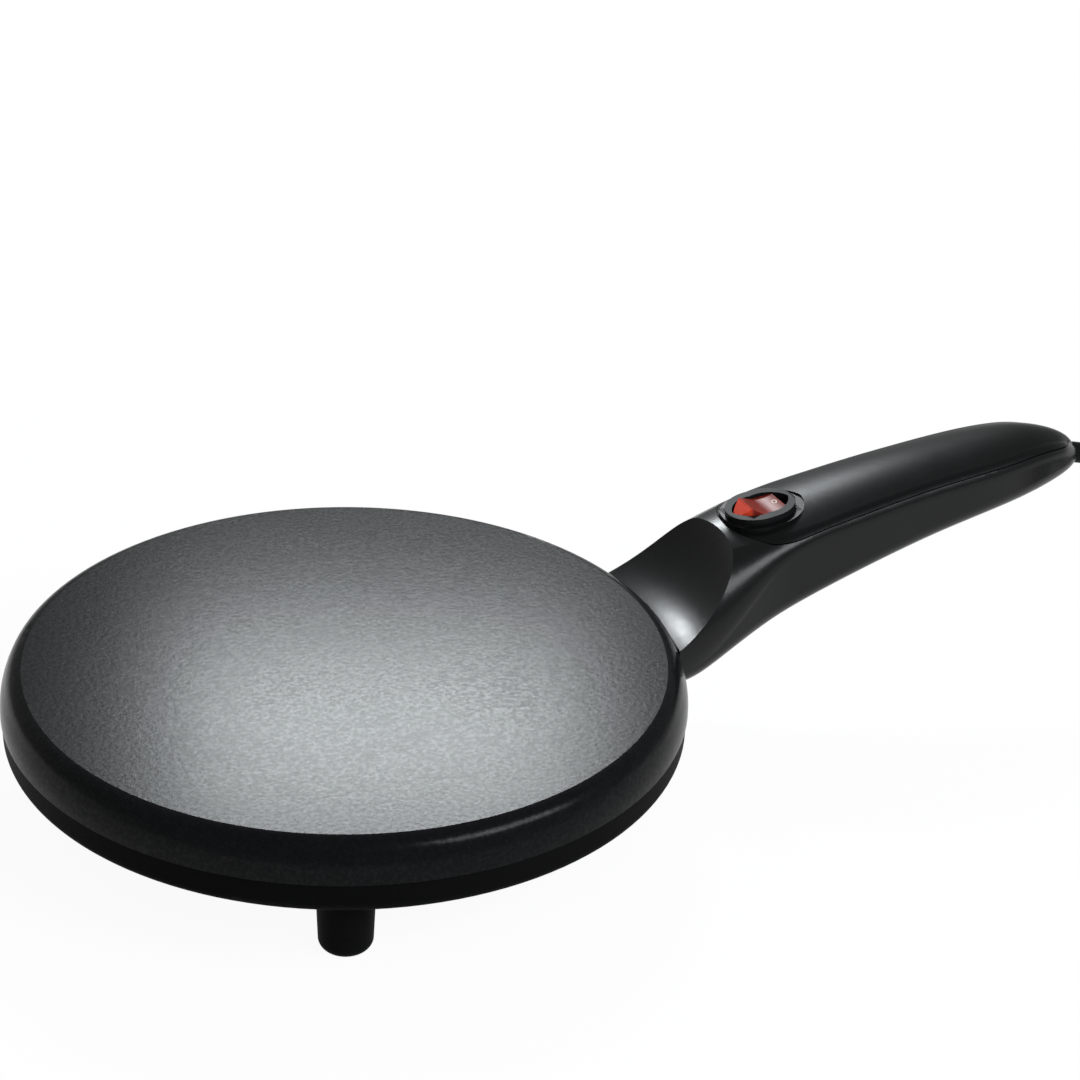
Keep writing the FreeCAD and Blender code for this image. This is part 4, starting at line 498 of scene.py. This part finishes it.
# Contacts and blades: stamped from brass strip, slightly dulled by handling.
contact_brass = Finish("contact_brass", Metallic=1.0)
brass_dull = contact_brass.noise(0.002, 4.0, 0.6)
contact_brass.feed(
    Base_Color=contact_brass.mix(brass_dull, (0.5, 0.34, 0.13), (0.72, 0.53, 0.24)),
    Roughness=0.2 + 0.2 * brass_dull, Normal=contact_brass.bump(contact_brass.noise(0.0004, 3.0), 0.000008))
wear(contact_brass, "switch_terminals", "switch_contact_arm", "thermostat_terminals", "plug_blades")

# Cord clamp: a bar of undyed nylon that two screws press onto the lead inside the handle.
clamp_nylon = Finish("clamp_nylon", Specular_IOR_Level=0.4)
nylon_grain = clamp_nylon.noise(0.0006, 3.0)
clamp_nylon.feed(
    Base_Color=clamp_nylon.mix(clamp_nylon.noise(0.004), (0.5, 0.48, 0.42), (0.6, 0.58, 0.52)),
    Roughness=0.35 + 0.15 * nylon_grain, Normal=clamp_nylon.bump(nylon_grain, 0.00002))
wear(clamp_nylon, "cord_clamp")

# Inner wires: stranded copper in braided glass-fibre sleeves, which stand the heat under the plate.
sleeve_braid = Finish("sleeve_braid", Specular_IOR_Level=0.25)
braid_cells = sleeve_braid.node(
    "ShaderNodeTexVoronoi", {}, {"Vector": sleeve_braid.place(), "Scale": 1800.0})
sleeve_braid.feed(
    Base_Color=sleeve_braid.mix(braid_cells, (0.66, 0.63, 0.55), (0.42, 0.39, 0.33)),
    Roughness=0.6 + 0.25 * braid_cells, Normal=sleeve_braid.bump(1 - braid_cells, 0.00006))
wear(sleeve_braid, "wire_switch_to_thermostat", "wire_cord_to_fuse", "wire_cord_to_switch",
     "wire_fuse_to_element", "wire_thermostat_to_element")

# Table: one pale sheet. The camera and reflections see it nearly white, and it keeps a soft shadow.
# Light that it bounces onto the part is that of a plain matt sheet.
table_white = Finish("table_white", Roughness=0.85, Specular_IOR_Level=0.1)
table_white.feed(Base_Color=table_white.mix(table_white.noise(0.4), (0.9, 0.9, 0.9), (0.93, 0.93, 0.93)))
seen_directly = table_white.node("ShaderNodeLightPath", {}, {}, "Is Camera Ray")
seen_in_gloss = table_white.node("ShaderNodeLightPath", {}, {}, "Is Glossy Ray")
seen_through = table_white.node("ShaderNodeLightPath", {}, {}, "Is Transmission Ray")
glow_share = 0.94
white_glow = table_white.tree.nodes.new("ShaderNodeEmission")
white_glow.inputs["Strength"].default_value = 1.0
table_blend = table_white.tree.nodes.new("ShaderNodeMixShader")
table_white.connect(table_blend.inputs[0], glow_share * (seen_directly + seen_in_gloss + seen_through))
table_white.tree.links.new(table_white.shader.outputs[0], table_blend.inputs[1])
table_white.tree.links.new(white_glow.outputs[0], table_blend.inputs[2])
table_white.tree.links.new(table_blend.outputs[0], table_white.tree.nodes["Material Output"].inputs[0])
bpy.ops.mesh.primitive_plane_add(size=12.0, location=(0, 0, 0))
table = bpy.context.object
table.name = "table"
table.data.materials.append(table_white.material)

# Room and lamps: an even pale room, a soft box beyond the plate that glows in its coating, and a broad
# one in front on the right. A third lamp, for the guard, follows them.
world = bpy.data.worlds.new("pale_room")
world.use_nodes = True
world.node_tree.nodes["Background"].inputs["Color"].default_value = (1.0, 1.0, 1.0, 1.0)
world.node_tree.nodes["Background"].inputs["Strength"].default_value = 0.4
bpy.context.scene.world = world
plate_middle = Vector((plate_axis, 0, plate_high.z))
lamp_tint = (0.93, 0.98, 1.0)


def lamp_direction(bearing, elevation):
    """Towards a lamp, from its bearing off the camera's far side and its elevation, in degrees."""
    turn = math.radians(90 - bearing) - handle_bearing
    rise = math.radians(elevation)
    return Vector((math.cos(turn) * math.cos(rise), math.sin(turn) * math.cos(rise), math.sin(rise)))


def soft_box(name, aim_at, bearing, elevation, distance, width, height, power):
    """A flat lamp that faces a point."""
    away = lamp_direction(bearing, elevation)
    lamp = bpy.data.lights.new(name, "AREA")
    lamp.shape = "RECTANGLE"
    lamp.size = width
    lamp.size_y = height
    lamp.energy = power
    lamp.color = lamp_tint
    holder = bpy.data.objects.new(name, lamp)
    holder.location = aim_at + away * distance
    holder.rotation_euler = away.to_track_quat("Z", "Y").to_euler()
    bpy.context.scene.collection.objects.link(holder)


soft_box("plate_lamp", plate_middle, bearing=1.5, elevation=34.5, distance=1.4,
         width=0.36, height=0.2, power=10.0)
soft_box("front_lamp", plate_middle, bearing=127.0, elevation=36.0, distance=1.3,
         width=0.85, height=0.4, power=12.5)

# Snooted lamp: a narrow cone from the far left that only reaches the guard of the handle.
guard_middle = Vector((0.035, 0, 0.045))
guard_distance = 1.4
guard_lamp = bpy.data.lights.new("guard_lamp", "SPOT")
guard_lamp.energy = 56.0
guard_lamp.color = lamp_tint
guard_lamp.shadow_soft_size = 0.12
guard_lamp.spot_size = math.radians(8.0)
guard_lamp.spot_blend = 0.6
guard_holder = bpy.data.objects.new("guard_lamp", guard_lamp)
guard_away = lamp_direction(-34.0, 32.0)
guard_holder.location = guard_middle + guard_away * guard_distance
guard_holder.rotation_euler = guard_away.to_track_quat("Z", "Y").to_euler()
bpy.context.scene.collection.objects.link(guard_holder)
